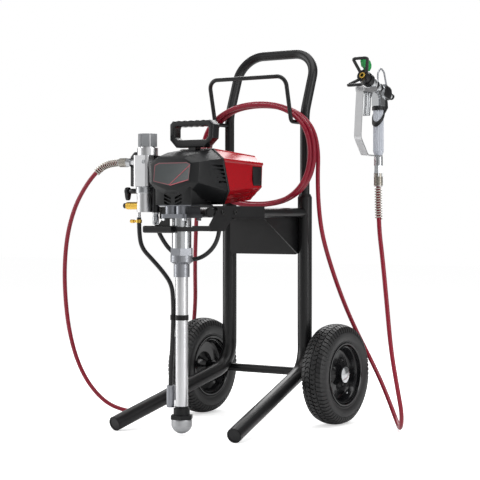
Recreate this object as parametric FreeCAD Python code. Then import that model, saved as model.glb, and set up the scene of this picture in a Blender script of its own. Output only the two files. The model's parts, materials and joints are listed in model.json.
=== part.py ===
import FreeCAD, Part
import math
import os

V = FreeCAD.Vector

# Airless paint sprayer on an upright two-wheel cart, with its hose and gun.
# Millimetres, +Z up. The front of the sprayer faces -Y and the left wheel is at -X.
# Everything is laid out about the point on the floor midway between the wheels,
# and moved at the end so that the origin is the bottom centre of the whole object without its hose.

# Cart frame
FRAME_HALF = 121.7          # half the distance between the two uprights
FRAME_OD = 38.1
FRAME_WALL = 1.8
FRAME_TOP = 607.0
FRAME_BEND = 76.0           # centre-line radius where an upright turns into a leg
SWAGE_HEIGHT = 9.0          # the upright's top, drawn in round the handle tube
LEG_REACH = 424.5           # how far the legs reach in front of the uprights
LEG_SPREAD = 62.8           # how far each leg also runs outwards
LEG_SLOPE = 16.2            # degrees below level
PLUG_RADIUS = 18.0
PLUG_LIP = 2.0
PLUG_STEM = 20.0

# Wheels and axle
WHEEL_RADIUS = 132.3
WHEEL_X = 215.0
WELD_SINK = 0.95            # how deep the crossbar's weld bites into the back of the frame's bend
AXLE_RADIUS = 7.9
CROSSBAR_RADIUS = 11.1
CROSSBAR_HALF = 178.0
RUN_CLEARANCE = 0.05        # radial, in every bore that turns
TYRE_HALF = 34.5
TREAD_HALF = 28.0
TREAD_DROP = 6.0             # how much lower the tread's shoulders are than its crown
RIM_RADIUS = 82.5
RIM_HALF = 32.0
RIM_SEAT = 74.0
RIM_WELL = 66.0
HUB_RADIUS = 15.0
HUB_OUT = 27.0
CAP_RADIUS = 21.0
CAP_DEPTH = 8.0
CAP_RIM = 3.0

# Handle and hose rack
HANDLE_OD = 25.4
HANDLE_WALL = 1.6
HANDLE_BOTTOM = 520.0
HANDLE_BEND_Z = 824.0
HANDLE_TOP = 988.8
HANDLE_LEAN = 63.0          # how far the top bar stands behind the uprights
RACK_ROD = 11.0
RACK_HOOK_Z = 796.7
RACK_HOOK_Y = -68.5
RACK_TOP_Z = 914.0
RACK_TOP_Y = -97.0

# Arms, back panel and saddle that carry the pump
ARM_OD = 25.4
ARM_WALL = 1.8
ARM_Z = 557.0
ARM_RIGHT_END = -438.0
ARM_LEFT_END = -300.0
SHEET = 3.0
PANEL_BOTTOM = 446.0
PANEL_TOP = 566.0
GUSSET_REACH = 175.0
SADDLE_BACK = -219.0
SADDLE_FRONT = -426.0
SADDLE_LIP = 541.0
SCREW_RADIUS = 3.0
SCREW_LENGTH = 14.0
SCREW_HEAD = 5.5
SCREW_HEAD_HEIGHT = 3.2
SCREW_DROP = 27.0           # the handle's screws, below the top of the uprights
PANEL_Y = -16.0

# Pump: one vertical line in front of the frame
PUMP_Y = -387.0
CASTING_FLOOR = 572.7
FLANGE_BOTTOM = 543.0
NECK_BOTTOM = 553.0
CYLINDER_RADIUS = 24.35
CYLINDER_BOTTOM = 468.0
CYLINDER_BORE = 14.0
ROD_RADIUS = 9.0
HEX_BOTTOM = 449.6
HEX_CORNER = 30.0
VALVE_RADIUS = 28.0
VALVE_BOTTOM = 428.0
SLEEVE_RADIUS = 20.0
SLEEVE_BOTTOM = 396.0
SIPHON_RADIUS = 15.9
SIPHON_WALL = 1.6
STRAINER_TOP = 73.0
STRAINER_FLOOR = 4.3        # the strainer hangs this far above the floor
DOME_RADIUS = 25.6
VALVE_TAPER = 434.0
COLLAR_Z = 68.0
GRIP_Z = 50.6
HEX_Z = 40.6
SIPHON_FOOT = 56.0
DOME_WALL = 2.0
DOME_SIDE = 24.0

# Drive train inside the casting
STROKE = 24.0
GEAR_Z = 631.0
GEAR_PITCH = 34.0
PINION_PITCH = 8.0
MOTOR_DX = -33.5
GEAR_GAP = 0.3
PIN_RADIUS = 7.0
CAST_FRONT = -416.0
CAST_BACK = -333.0
CAST_HALF = 50.0
CAST_TOP = 686.0
CAST_WALL = 4.5
STATOR_RADIUS = 42.0
STATOR_FRONT = -310.0
STATOR_LENGTH = 95.0
STATOR_DISC = 3.0
SHAFT_RADIUS = 6.0
SHAFT_LENGTH = 156.0
GEAR_FRONT = -352.0
GEAR_WIDTH = 8.0
GEAR_SHAFT = 8.0
CRANK_PIN_LENGTH = 46.0

# Covers
COVER_WALL = 3.0
COVER_FRONT = -432.0
COVER_STEP = -420.0
COVER_MID = -380.0
COVER_SEAM = -320.0
COVER_BACK = -156.0
CAP_FRONT = -198.0
CHIN_HALF = 56.0
CHIN_FRONT = -424.0
CHIN_BACK = -345.0
CHIN_TOP = 630.0

# Cover sections: depth, then (x, z) of the upper side corner, the roof's, the lower side's and the keel's
SECTION_FACE = (COVER_FRONT, (62.0, 678.0), (42.0, 690.0), (60.0, 630.0), (12.0, 612.0))
SECTION_STEP = (COVER_STEP, (80.0, 681.0), (46.0, 697.0), (75.0, 630.0), (40.0, 600.0))
SECTION_MID = (COVER_MID, (80.5, 686.0), (50.0, 708.0), (85.0, 622.0), (57.0, 590.0))
SECTION_SEAM = (COVER_SEAM, (80.5, 692.0), (50.0, 717.0), (98.5, 611.0), (82.0, 578.0))
SECTION_BACK = (COVER_BACK, (89.0, 685.0), (67.0, 703.0), (88.0, 623.0), (52.0, 590.0))

# Carry handle
HANDLE_HALF = 67.5
HANDLE_Y = -332.0
HANDLE_DEPTH = 30.0
HANDLE_Z0 = 721.0
HANDLE_Z1 = 790.0
FINGER_HALF = 53.0
FINGER_Z0 = 740.0
FINGER_Z1 = 775.0

# Control plateau on the left flank of the motor cover
PANEL_FACE = -94.5
PANEL_END = -208.0
PANEL_LOW = 628.0
PANEL_HIGH = 674.0
KNOB_RADIUS = 17.0
KNOB_DEPTH = 15.0
ROCKER_TILT = 8.0           # the switch rests tipped to one side
KNOB_Y = -298.0
SWITCH_Y = -262.0
INLET_Y = -228.0

# Pail bar
BAR_LEFT = -91.0
BAR_Y = -415.5              # its back face, just in front of the pump
BAR_TOP = 524.0

# Filter column at the left of the pump, with the pressure control's housing behind it
FILTER_X = -111.5
FILTER_Y = -393.5
OUTLET_Z = 685.0
POCKET_DX = 29.0            # the pump outlet's boss, from the filter's axis
POCKET_DY = 8.0
POCKET_BOTTOM = 554.0
POCKET_HEIGHT = 80.0
POCKET_RADIUS = 9.0
BLOCK_TOP = 702.0
BLOCK_BOTTOM = 623.0
COLLAR_RADIUS = 26.5
COLLAR_HEIGHT = 19.0
CAP_NECK = 14.0
BOWL_RADIUS = 20.0
BOWL_BOTTOM = 558.0
BOWL_STEP = 607.0
CAP_CORNER = 25.7
CAP_HEAD = 33.0
CAP_TURN = 25.0             # how the six-sided cap stands when it is tight
CONTROL_LEFT = -169.3
CONTROL_STEP = -143.9       # where the housing steps down to pass under the collar
CONTROL_FRONT = -380.0
CONTROL_BACK = -352.0
CONTROL_BOTTOM = 624.0
CONTROL_TOP = 712.0
VALVE_Z = 574.5
LEVER_Z = 611.5
LEVER_X = -168.0
LEVER_PIN = 4.0

# Return tube
RETURN_RADIUS = 5.6
RETURN_BORE = 4.4
RETURN_HIGH = 21.3          # how far to the side of the siphon tube's axis it runs at the clip
RETURN_HIGH_BACK = 7.0      # and how far behind
RETURN_LOW = 28.5           # the same at its foot, where its open end has a free way down
RETURN_LOW_BACK = 18.0
RETURN_TOP = 544.5
RETURN_FOOT = 104.0
RETURN_OUTLET = 68.0
OUTLET_BORE = 4.0
CLIP_Z = 288.0
CLIP_HEIGHT = 13.0

# Hose
TRANSFER_RADIUS = 5.5
HOSE_RADIUS = 5.75
SPRING_WIRE = 1.7
SPRING_MEAN = 8.2
SPRING_LENGTH = 78.0
SPRING_TURNS = 12
NEAREST_GAP = 0.4
COIL_TURNS = 3.5
COIL_X = -2.0               # middle of the coil
COIL_Z = 716.0
COIL_FRONT = -60.4
COIL_PITCH = 12.2
COUPLING_LENGTH = 38.0
COIL_TOPS = [128.5, 134.0, 127.2, 131.0]        # height of each turn's top above the middle
COIL_BOTTOMS = [139.0, 134.0, 137.0]            # and the depth of its bottom below
COIL_LEFTS = [168.0, 172.0, 166.0, 170.0]
COIL_RIGHTS = [172.0, 176.5, 171.0, 173.5]
SIDE_REACH = 0.76                               # how round the sides are; 1 would be a quarter circle

# Gun, hanging upright at the right of the cart
GUN_X = 388.0
GRIP_Y = -79.0
GRIP_RADIUS = 13.5
GRIP_BOTTOM = 701.0
GRIP_TOP = 825.0
SWIVEL_TOP = 697.7
SWIVEL_BOTTOM = 661.0
TIP_Y = -152.0
TIP_Z = 893.0
BARREL_TILT = 18.0          # degrees, nose up
BARREL_RADIUS = 13.0
KNOB_RISE = 5.0             # the rear knob sits this far above the barrel line
TRIGGER_Y = -125.0
TRIGGER_Z = 862.0
LOCK_Y = -88.0
LOCK_Z = 846.0
PLATE_Y = -135.0
GRIP_TAPER = 8.0
TIP_RADIUS = 5.5
GUARD_HALF = 10.0
STEM_HALF = 10.0
STEM_DEPTH = 17.0
STEM_TOP = 866.0
GUARD_GAUGE = 2.4

X = V(1, 0, 0)
Y = V(0, 1, 0)
Z = V(0, 0, 1)

pieces = {}


# Helpers

def cyl(base, axis, radius, length):
    return Part.makeCylinder(radius, length, base, axis)


def ring(base, axis, outer, inner, length):
    return cyl(base, axis, outer, length).cut(cyl(base, axis, inner, length))


def box(x0, x1, y0, y1, z0, z1):
    return Part.makeBox(x1 - x0, y1 - y0, z1 - z0, V(x0, y0, z0))


def prism(points, sweep):
    outline = Part.makePolygon(points + [points[0]])
    return Part.Face(outline).extrude(sweep)


def side_plate(outline, x0, x1):
    """A plate across X, from an outline of (y, z) corners."""
    return prism([V(x0, y, z) for y, z in outline], V(x1 - x0, 0, 0))


def front_plate(outline, y0, y1):
    """A plate across Y, from an outline of (x, z) corners."""
    return prism([V(x, y0, z) for x, z in outline], V(0, y1 - y0, 0))


def fuse(first, *others):
    return first.fuse(list(others)).removeSplitter()


def hexagon(base, heading, corner, length):
    """A six-sided bar along heading, with the given corner radius."""
    first = heading.cross(Y if abs(heading.z) > 0.5 else Z).normalize()
    second = heading.cross(first)
    points = []
    for i in range(6):
        angle = math.radians(60 * i)
        points.append(base + first * (corner * math.cos(angle)) + second * (corner * math.sin(angle)))
    return prism(points, heading * length)


def turned(edges_or_points, base, axis):
    """A solid of revolution from an outline in (distance along the axis, radius)."""
    edges = []
    points = edges_or_points
    for i, item in enumerate(points):
        nxt = points[(i + 1) % len(points)]
        start = V(item[1], 0, item[0])
        end = V(nxt[1], 0, nxt[0])
        if len(item) == 4:
            edges.append(Part.Arc(start, V(item[3], 0, item[2]), end).toShape())
        else:
            edges.append(Part.LineSegment(start, end).toShape())
    face = Part.Face(Part.Wire(edges))
    solid = face.revolve(V(0, 0, 0), Z, 360)
    solid.Placement = FreeCAD.Placement(base, FreeCAD.Rotation(Z, axis))
    return Part.Solid(solid)


def domed(base, axis, radius, side, height):
    """A round post with straight sides up to side and a ball-shaped end up to height."""
    rise = height - side
    ball_radius = (radius ** 2 + rise ** 2) / (2 * rise)
    ball = Part.makeSphere(ball_radius, base + axis * (height - ball_radius), axis)
    post = cyl(base, axis, radius, height)
    return post.common(ball)


def bent_edges(points, radii):
    """Straight runs joined by tangent arcs, one radius for each inner corner."""
    edges = []
    here = points[0]
    for i in range(1, len(points) - 1):
        corner = points[i]
        back = (points[i - 1] - corner).normalize()
        ahead = (points[i + 1] - corner).normalize()
        turn = math.pi - back.getAngle(ahead)
        cut = radii[i - 1] * math.tan(turn / 2)
        start = corner + back * cut
        end = corner + ahead * cut
        inward = (back + ahead).normalize()
        middle = corner + inward * (radii[i - 1] / math.cos(turn / 2) - radii[i - 1])
        edges.append(Part.LineSegment(here, start).toShape())
        edges.append(Part.Arc(start, middle, end).toShape())
        here = end
    edges.append(Part.LineSegment(here, points[-1]).toShape())
    return edges


def swept(edges, radius):
    """A round bar along a chain of edges."""
    wire = Part.Wire(edges)
    first = edges[0]
    start = first.valueAt(first.FirstParameter)
    heading = first.tangentAt(first.FirstParameter)
    profile = Part.Wire([Part.makeCircle(radius, start, heading)])
    return wire.makePipeShell([profile], True, False)


def tube(points, radii, outer, wall):
    edges = bent_edges(points, radii)
    return swept(edges, outer).cut(swept(edges, outer - wall))


def cord_edges(name, points):
    """A cord's centre line: each arc as large as its two runs allow."""
    radii = []
    for i in range(1, len(points) - 1):
        back = points[i - 1] - points[i]
        ahead = points[i + 1] - points[i]
        turn = math.pi - back.getAngle(ahead)
        radii.append(0.45 * min(back.Length, ahead.Length) / math.tan(turn / 2))
    print(name, "radii", [round(r) for r in radii])
    return bent_edges(points, radii)


def cord_tube(name, points, radius):
    edges = cord_edges(name, points)
    solid = swept(edges, radius)
    length = sum(e.Length for e in edges)
    ideal = math.pi * radius ** 2 * length
    print(name, "length", round(length, 1), "volume / ideal", round(solid.Volume / ideal, 4))
    return solid, edges


def arc_from(start, heading, end):
    """The arc that leaves start along heading and ends at end."""
    chord = end - start
    along = V(chord).normalize()
    side = heading - along * heading.dot(along)
    if side.Length < 1e-6:
        return Part.LineSegment(start, end).toShape()
    side = side.normalize()
    half = heading.getAngle(along)
    middle = start + chord * 0.5 + side * (chord.Length / 2 * math.tan(half / 2))
    return Part.Arc(start, middle, end).toShape()


def biarc(p0, t0, p1, t1):
    """Two tangent arcs from p0 along t0 to p1 along t1."""
    gap = p1 - p0
    both = t0 + t1
    a = 4 - both.dot(both)
    b = 2 * gap.dot(both)
    c = -gap.dot(gap)
    if a < 1e-9:
        reach = -c / b
    else:
        reach = (-b + math.sqrt(b * b - 4 * a * c)) / (2 * a)
    joint = (p0 + t0 * reach + p1 - t1 * reach) * 0.5
    first = arc_from(p0, t0, joint)
    back = arc_from(p1, t1 * -1, joint)
    return [first, back]


def wound_edges(stations):
    """Biarcs through a list of (point, heading)."""
    edges = []
    for (p0, t0), (p1, t1) in zip(stations, stations[1:]):
        edges.extend(biarc(p0, t0, p1, t1))
    return edges


def along(edges, distance):
    """Point and heading at a distance along a chain of edges."""
    for edge in edges:
        if distance <= edge.Length:
            spot = edge.getParameterByLength(distance)
            return edge.valueAt(spot), edge.tangentAt(spot)
        distance -= edge.Length
    last = edges[-1]
    return last.valueAt(last.LastParameter), last.tangentAt(last.LastParameter)


def mirrored(shape):
    return shape.mirror(V(0, 0, 0), X)


# Cart frame: two uprights that bend forward into legs

slope = math.radians(LEG_SLOPE)
leg_run = math.hypot(LEG_REACH, LEG_SPREAD)
leg_rise = leg_run * math.tan(slope)
foot_z = FRAME_OD / 2 * math.cos(slope)
foot = V(FRAME_HALF + LEG_SPREAD, -LEG_REACH, foot_z)
knee = V(FRAME_HALF, 0, foot_z + leg_rise)
leg_heading = (foot - knee).normalize()
frame_points = [foot, knee, V(FRAME_HALF, 0, FRAME_TOP - SWAGE_HEIGHT)]
frame_radius = FRAME_OD / 2
frame_solid = swept(bent_edges(frame_points, [FRAME_BEND]), frame_radius)
handle_radius = HANDLE_OD / 2
swage_bore = handle_radius + RUN_CLEARANCE
swage_base = V(FRAME_HALF, 0, FRAME_TOP - SWAGE_HEIGHT)
swage = Part.makeCone(frame_radius, frame_radius - 4.2, SWAGE_HEIGHT, swage_base, Z)
frame_tube = frame_solid.cut(swept(bent_edges(frame_points, [FRAME_BEND]), frame_radius - FRAME_WALL))
frame_tube = fuse(frame_tube, swage.cut(cyl(swage_base, Z, swage_bore, SWAGE_HEIGHT)))

# Handle: one bent tube that plugs into both uprights

handle_points = [
    V(-FRAME_HALF, 0, HANDLE_BOTTOM),
    V(-FRAME_HALF, 0, HANDLE_BEND_Z),
    V(-FRAME_HALF, HANDLE_LEAN, HANDLE_TOP),
    V(FRAME_HALF, HANDLE_LEAN, HANDLE_TOP),
    V(FRAME_HALF, 0, HANDLE_BEND_Z),
    V(FRAME_HALF, 0, HANDLE_BOTTOM),
]
handle_bends = [100.0, 70.0, 70.0, 100.0]
handle_tube = tube(handle_points, handle_bends, handle_radius, HANDLE_WALL)
handle_solid = swept(bent_edges(handle_points, handle_bends), handle_radius)

# Hose rack: a bent rod with a hook at each side

rack_points = [
    V(-FRAME_HALF, 0, RACK_HOOK_Z),
    V(-FRAME_HALF, RACK_HOOK_Y, RACK_HOOK_Z),
    V(-FRAME_HALF, RACK_TOP_Y, RACK_TOP_Z),
    V(FRAME_HALF, RACK_TOP_Y, RACK_TOP_Z),
    V(FRAME_HALF, RACK_HOOK_Y, RACK_HOOK_Z),
    V(FRAME_HALF, 0, RACK_HOOK_Z),
]
rack = swept(bent_edges(rack_points, [12.0, 26.0, 26.0, 12.0]), RACK_ROD / 2)
pieces["hose_rack"] = rack.cut(handle_solid)

# Axle, lower crossbar and wheels

bend_top = knee.z + FRAME_BEND * math.tan((math.pi / 2 - slope) / 2)
weld_reach = FRAME_BEND + frame_radius + CROSSBAR_RADIUS - WELD_SINK
axle_y = math.sqrt(weld_reach ** 2 - (bend_top - WHEEL_RADIUS) ** 2) - FRAME_BEND
axle_centre = V(0, axle_y, WHEEL_RADIUS)
crossbar = ring(axle_centre - X * CROSSBAR_HALF, X, CROSSBAR_RADIUS, AXLE_RADIUS, 2 * CROSSBAR_HALF)
pieces["lower_crossbar"] = crossbar.cut([frame_solid, mirrored(frame_solid)])
axle_half = WHEEL_X + HUB_OUT - 1
pieces["axle_rod"] = cyl(axle_centre - X * axle_half, X, AXLE_RADIUS, 2 * axle_half)


def wheel_pieces(side):
    """Tyre, rim and hub cap of one wheel; side is 1 for the right wheel and -1 for the left."""
    centre = V(side * WHEEL_X, axle_y, WHEEL_RADIUS)
    out = X * side
    hub_in = WHEEL_X - CROSSBAR_HALF - 0.5
    shoulder = WHEEL_RADIUS - TREAD_DROP
    flange_in = RIM_HALF - 3.5
    bead = flange_in - 7.5
    tyre = turned([
        (flange_in, RIM_SEAT),
        (flange_in, RIM_RADIUS + 1, TYRE_HALF, 104.0),
        (TREAD_HALF, shoulder, 0, WHEEL_RADIUS),
        (-TREAD_HALF, shoulder, -TYRE_HALF, 104.0),
        (-flange_in, RIM_RADIUS + 1),
        (-flange_in, RIM_SEAT),
        (-bead, RIM_SEAT),
        (-bead, 80.0, 5.5 - TYRE_HALF, 103.0),
        (5 - TREAD_HALF, shoulder - 6, 0, WHEEL_RADIUS - 6),
        (TREAD_HALF - 5, shoulder - 6, TYRE_HALF - 5.5, 103.0),
        (bead, 80.0),
        (bead, RIM_SEAT),
    ], centre, out)
    gauge = 2.8
    barrel = turned([
        (RIM_HALF, RIM_RADIUS),
        (flange_in, RIM_RADIUS),
        (flange_in, RIM_SEAT),
        (16.0, RIM_SEAT),
        (12.0, RIM_WELL),
        (-12.0, RIM_WELL),
        (-16.0, RIM_SEAT),
        (-flange_in, RIM_SEAT),
        (-flange_in, RIM_RADIUS),
        (-RIM_HALF, RIM_RADIUS),
        (-RIM_HALF, RIM_RADIUS - gauge),
        (-flange_in - 0.6, RIM_SEAT - gauge),
        (-15.0, RIM_SEAT - gauge),
        (-11.0, RIM_WELL - gauge),
        (11.0, RIM_WELL - gauge),
        (15.0, RIM_SEAT - gauge),
        (flange_in + 0.6, RIM_SEAT - gauge),
        (RIM_HALF, RIM_RADIUS - gauge),
    ], centre, out)
    dish = turned([
        (6.0, RIM_WELL - 1),
        (9.0, RIM_WELL - 1),
        (12.0, 54.0),
        (20.0, 48.0),
        (20.0, HUB_RADIUS - 1),
        (17.0, HUB_RADIUS - 1),
        (17.0, 47.0),
        (9.0, 53.0),
    ], centre, out)
    hub = ring(centre - out * hub_in, out, HUB_RADIUS, AXLE_RADIUS + RUN_CLEARANCE, hub_in + HUB_OUT)
    rim = fuse(barrel, dish, hub)
    cap = domed(centre + out * HUB_OUT, out, CAP_RADIUS, CAP_RIM, CAP_DEPTH)
    return tyre, rim, cap


for side, word in ((-1, "left"), (1, "right")):
    tyre, rim, cap = wheel_pieces(side)
    pieces["wheel_" + word + "_tyre"] = tyre
    pieces["wheel_" + word + "_rim"] = rim
    pieces["wheel_" + word + "_cap"] = cap

# Foot plugs in the open ends of the legs

plug = fuse(
    cyl(foot, leg_heading, PLUG_RADIUS, PLUG_LIP),
    cyl(foot - leg_heading * PLUG_STEM, leg_heading, frame_radius - FRAME_WALL, PLUG_STEM),
)
plug = plug.cut(cyl(foot + leg_heading * (PLUG_LIP - 1.5), leg_heading, frame_radius - 4, 2.0))
pieces["foot_plugs"] = Part.makeCompound([plug, mirrored(plug)])

# Two arms reach forward from the uprights; the right one is the longer and has a gusset below

arm_radius = ARM_OD / 2


def arm(side, end):
    start = V(side * FRAME_HALF, end, ARM_Z)
    body = ring(start, Y, arm_radius, arm_radius - ARM_WALL, -end)
    lid = cyl(start + Y * 1.5, Y, arm_radius - ARM_WALL, 2.0)
    upright = frame_solid if side > 0 else mirrored(frame_solid)
    return fuse(body, lid).cut(upright)


arm_right = arm(1, ARM_RIGHT_END)
arm_left = arm(-1, ARM_LEFT_END)
arm_right_bar = cyl(V(FRAME_HALF, ARM_RIGHT_END, ARM_Z), Y, arm_radius, -ARM_RIGHT_END)

arm_inner = FRAME_HALF - arm_radius
panel = box(-arm_inner, arm_inner, PANEL_Y, PANEL_Y + SHEET, PANEL_BOTTOM, PANEL_TOP)
short_edges = [e for e in panel.Edges if abs(e.Length - SHEET) < 0.01]
panel = panel.makeFillet(9.0, [e for e in short_edges if e.CenterOfMass.z < PANEL_BOTTOM + 1])
gusset = side_plate([
    (PANEL_Y + SHEET, PANEL_BOTTOM + 9),
    (PANEL_Y, PANEL_BOTTOM + 2),
    (-GUSSET_REACH, ARM_Z - 16),
    (-GUSSET_REACH, ARM_Z),
    (PANEL_Y + SHEET, ARM_Z),
], arm_inner + 0.3 - SHEET, arm_inner + 0.3)
gusset = gusset.cut(arm_right_bar)
panel = fuse(panel, gusset)
pieces["gusset_panel"] = panel.cut([frame_solid, mirrored(frame_solid)])

saddle_top = ARM_Z + arm_radius + SHEET
saddle_side = FRAME_HALF + arm_radius
deck = prism([
    V(saddle_side + SHEET, SADDLE_BACK, saddle_top - SHEET),
    V(saddle_side + SHEET, SADDLE_FRONT, saddle_top - SHEET),
    V(58, SADDLE_FRONT, saddle_top - SHEET),
    V(58, -335, saddle_top - SHEET),
    V(-70, -335, saddle_top - SHEET),
    V(-saddle_side - SHEET, -300, saddle_top - SHEET),
    V(-saddle_side - SHEET, SADDLE_BACK, saddle_top - SHEET),
], Z * SHEET)
ear = side_plate([
    (SADDLE_BACK, saddle_top - SHEET),
    (SADDLE_FRONT, saddle_top - SHEET),
    (SADDLE_FRONT, 562.0),
    (-459.0, 526.0),
    (-456.0, 511.0),
    (-397.0, 511.0),
    (-364.0, SADDLE_LIP),
    (SADDLE_BACK, SADDLE_LIP),
], saddle_side, saddle_side + SHEET)
hem = box(saddle_side + SHEET, saddle_side + SHEET + 3, -362.0, SADDLE_BACK, SADDLE_LIP, SADDLE_LIP + 2.2)
left_lip = box(-saddle_side - SHEET, -saddle_side, -298.0, SADDLE_BACK, SADDLE_LIP, saddle_top - SHEET)
saddle = fuse(deck, ear, hem, left_lip)

# Button-head screws: saddle to arms, and handle to uprights


def screw(seat, heading):
    """A screw whose head sits on seat and whose shank runs along heading."""
    head = cyl(seat - heading * SCREW_HEAD_HEIGHT, heading, SCREW_HEAD, SCREW_HEAD_HEIGHT)
    crown = seat - heading * SCREW_HEAD_HEIGHT
    rim_edge = [e for e in head.Edges if e.CenterOfMass.distanceToPoint(crown) < 0.01]
    head = head.makeFillet(2.0, rim_edge[:1])
    socket = hexagon(crown, heading, 2.2, 1.6)
    shank = cyl(seat, heading, SCREW_RADIUS, SCREW_LENGTH)
    return fuse(head, shank).cut(socket)


screw_seats = []
for y in (-405.0, -352.0):
    screw_seats.append((V(saddle_side + SHEET, y, ARM_Z), X * -1))
for y in (-285.0, -240.0):
    screw_seats.append((V(-saddle_side - SHEET, y, ARM_Z), X))
for side in (-1, 1):
    screw_seats.append((V(side * FRAME_HALF, frame_radius, FRAME_TOP - SCREW_DROP), Y * -1))
screws = [screw(seat, heading) for seat, heading in screw_seats]
shanks = [cyl(seat, heading, SCREW_RADIUS, SCREW_LENGTH) for seat, heading in screw_seats]
pieces["frame_screws"] = Part.makeCompound(screws)
pieces["pump_saddle"] = saddle.cut(shanks)
pieces["mount_arms"] = Part.makeCompound([arm_left.cut(shanks[2:4]), arm_right.cut(shanks[0:2])])
pieces["frame_tube_left"] = mirrored(frame_tube).cut(shanks[4])
pieces["frame_tube_right"] = frame_tube.cut(shanks[5])
pieces["handle_tube"] = handle_tube.cut(shanks[4:6])

# Gear casting with its neck and flange

motor_z = GEAR_Z + math.sqrt((GEAR_PITCH + PINION_PITCH) ** 2 - MOTOR_DX ** 2)
casting = box(-CAST_HALF, CAST_HALF, CAST_FRONT, CAST_BACK, CASTING_FLOOR, CAST_TOP)
cavity = box(
    CAST_WALL - CAST_HALF,
    CAST_HALF - CAST_WALL,
    CAST_FRONT + CAST_WALL,
    CAST_BACK - CAST_WALL,
    CASTING_FLOOR + CAST_WALL,
    CAST_TOP - CAST_WALL,
)
cast_foot = box(-CAST_HALF, CAST_HALF, CAST_BACK - 2, -322.0, CASTING_FLOOR, CASTING_FLOOR + 3.8)
neck = box(-33, 33, PUMP_Y - 18, -352.0, NECK_BOTTOM, CASTING_FLOOR)
lobes = [cyl(V(s * 16.5, PUMP_Y - 18, NECK_BOTTOM), Z, 17.0, CASTING_FLOOR - NECK_BOTTOM) for s in (-1, 1)]
flange = box(-41, 41, PUMP_Y - 38, -348.0, FLANGE_BOTTOM, NECK_BOTTOM)
flange_height = NECK_BOTTOM - FLANGE_BOTTOM
flange = flange.makeFillet(11.0, [e for e in flange.Edges if abs(e.Length - flange_height) < 0.01])
casting = fuse(casting.cut(cavity), cast_foot, neck, lobes[0], lobes[1], flange)
rod_bore = cyl(V(0, PUMP_Y, FLANGE_BOTTOM), Z, ROD_RADIUS + 1, CASTING_FLOOR + CAST_WALL - FLANGE_BOTTOM)
shaft_bore = cyl(V(MOTOR_DX, CAST_BACK - 6, motor_z), Y, SHAFT_RADIUS + RUN_CLEARANCE, 10.0)
gear_bore = cyl(V(0, CAST_BACK - 6, GEAR_Z), Y, GEAR_SHAFT + RUN_CLEARANCE, 10.0)
pieces["gearbox_casting"] = casting.cut([rod_bore, shaft_bore, gear_bore])

# Motor, gear with its crank pin, and the yoke on the piston rod

motor_bore = SHAFT_RADIUS + RUN_CLEARANCE
stator_end = STATOR_FRONT + STATOR_LENGTH
stator = ring(V(MOTOR_DX, STATOR_FRONT, motor_z), Y, STATOR_RADIUS, 28.6, STATOR_LENGTH)
front_bell = ring(V(MOTOR_DX, CAST_BACK, motor_z), Y, 26.0, motor_bore, STATOR_FRONT + 2 - CAST_BACK)
front_disc = ring(V(MOTOR_DX, STATOR_FRONT, motor_z), Y, STATOR_RADIUS, motor_bore, STATOR_DISC)
rear_disc = ring(V(MOTOR_DX, stator_end - STATOR_DISC, motor_z), Y, STATOR_RADIUS, motor_bore, STATOR_DISC)
pieces["motor_stator"] = fuse(stator, front_bell, front_disc, rear_disc)
shaft = cyl(V(MOTOR_DX, GEAR_FRONT - 4, motor_z), Y, SHAFT_RADIUS, SHAFT_LENGTH)
pinion = cyl(V(MOTOR_DX, GEAR_FRONT - 2, motor_z), Y, PINION_PITCH, GEAR_WIDTH + 3)
armature = cyl(V(MOTOR_DX, STATOR_FRONT + 10, motor_z), Y, 28.0, 76.0)
fan = cyl(V(MOTOR_DX, stator_end + 5, motor_z), Y, 30.0, 6.0)
pieces["motor_rotor"] = fuse(shaft, pinion, armature, fan)
gear = cyl(V(0, GEAR_FRONT, GEAR_Z), Y, GEAR_PITCH - GEAR_GAP, GEAR_WIDTH)
gear_shaft = cyl(V(0, GEAR_FRONT + GEAR_WIDTH, GEAR_Z), Y, GEAR_SHAFT, 11.0)
crank_pin = cyl(V(STROKE / 2, GEAR_FRONT - CRANK_PIN_LENGTH, GEAR_Z), Y, PIN_RADIUS, CRANK_PIN_LENGTH)
pieces["crank_gear"] = fuse(gear, gear_shaft, crank_pin)
slot_half = STROKE / 2 + PIN_RADIUS + 1
window_half = STROKE + PIN_RADIUS + 1
rod_top = GEAR_Z - window_half - 5
yoke = box(-slot_half - 6, slot_half + 6, PUMP_Y - 6, PUMP_Y + 6, rod_top, GEAR_Z + window_half + 5)
window = box(-slot_half, slot_half, PUMP_Y - 7, PUMP_Y + 7, GEAR_Z - window_half, GEAR_Z + window_half)
rod_bottom = CYLINDER_BOTTOM + STROKE / 2 + 4
rod = cyl(V(0, PUMP_Y, rod_bottom), Z, ROD_RADIUS, rod_top - rod_bottom + 1)
piston_head = cyl(V(0, PUMP_Y, rod_bottom), Z, CYLINDER_BORE - RUN_CLEARANCE, 10.0)
pieces["piston_rod"] = fuse(yoke.cut(window), rod, piston_head)

# Pump column, from the cylinder down to the strainer


def column(z0, z1, outer, inner=0.0):
    base = V(0, PUMP_Y, z0)
    if inner:
        return ring(base, Z, outer, inner, z1 - z0)
    return cyl(base, Z, outer, z1 - z0)


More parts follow.
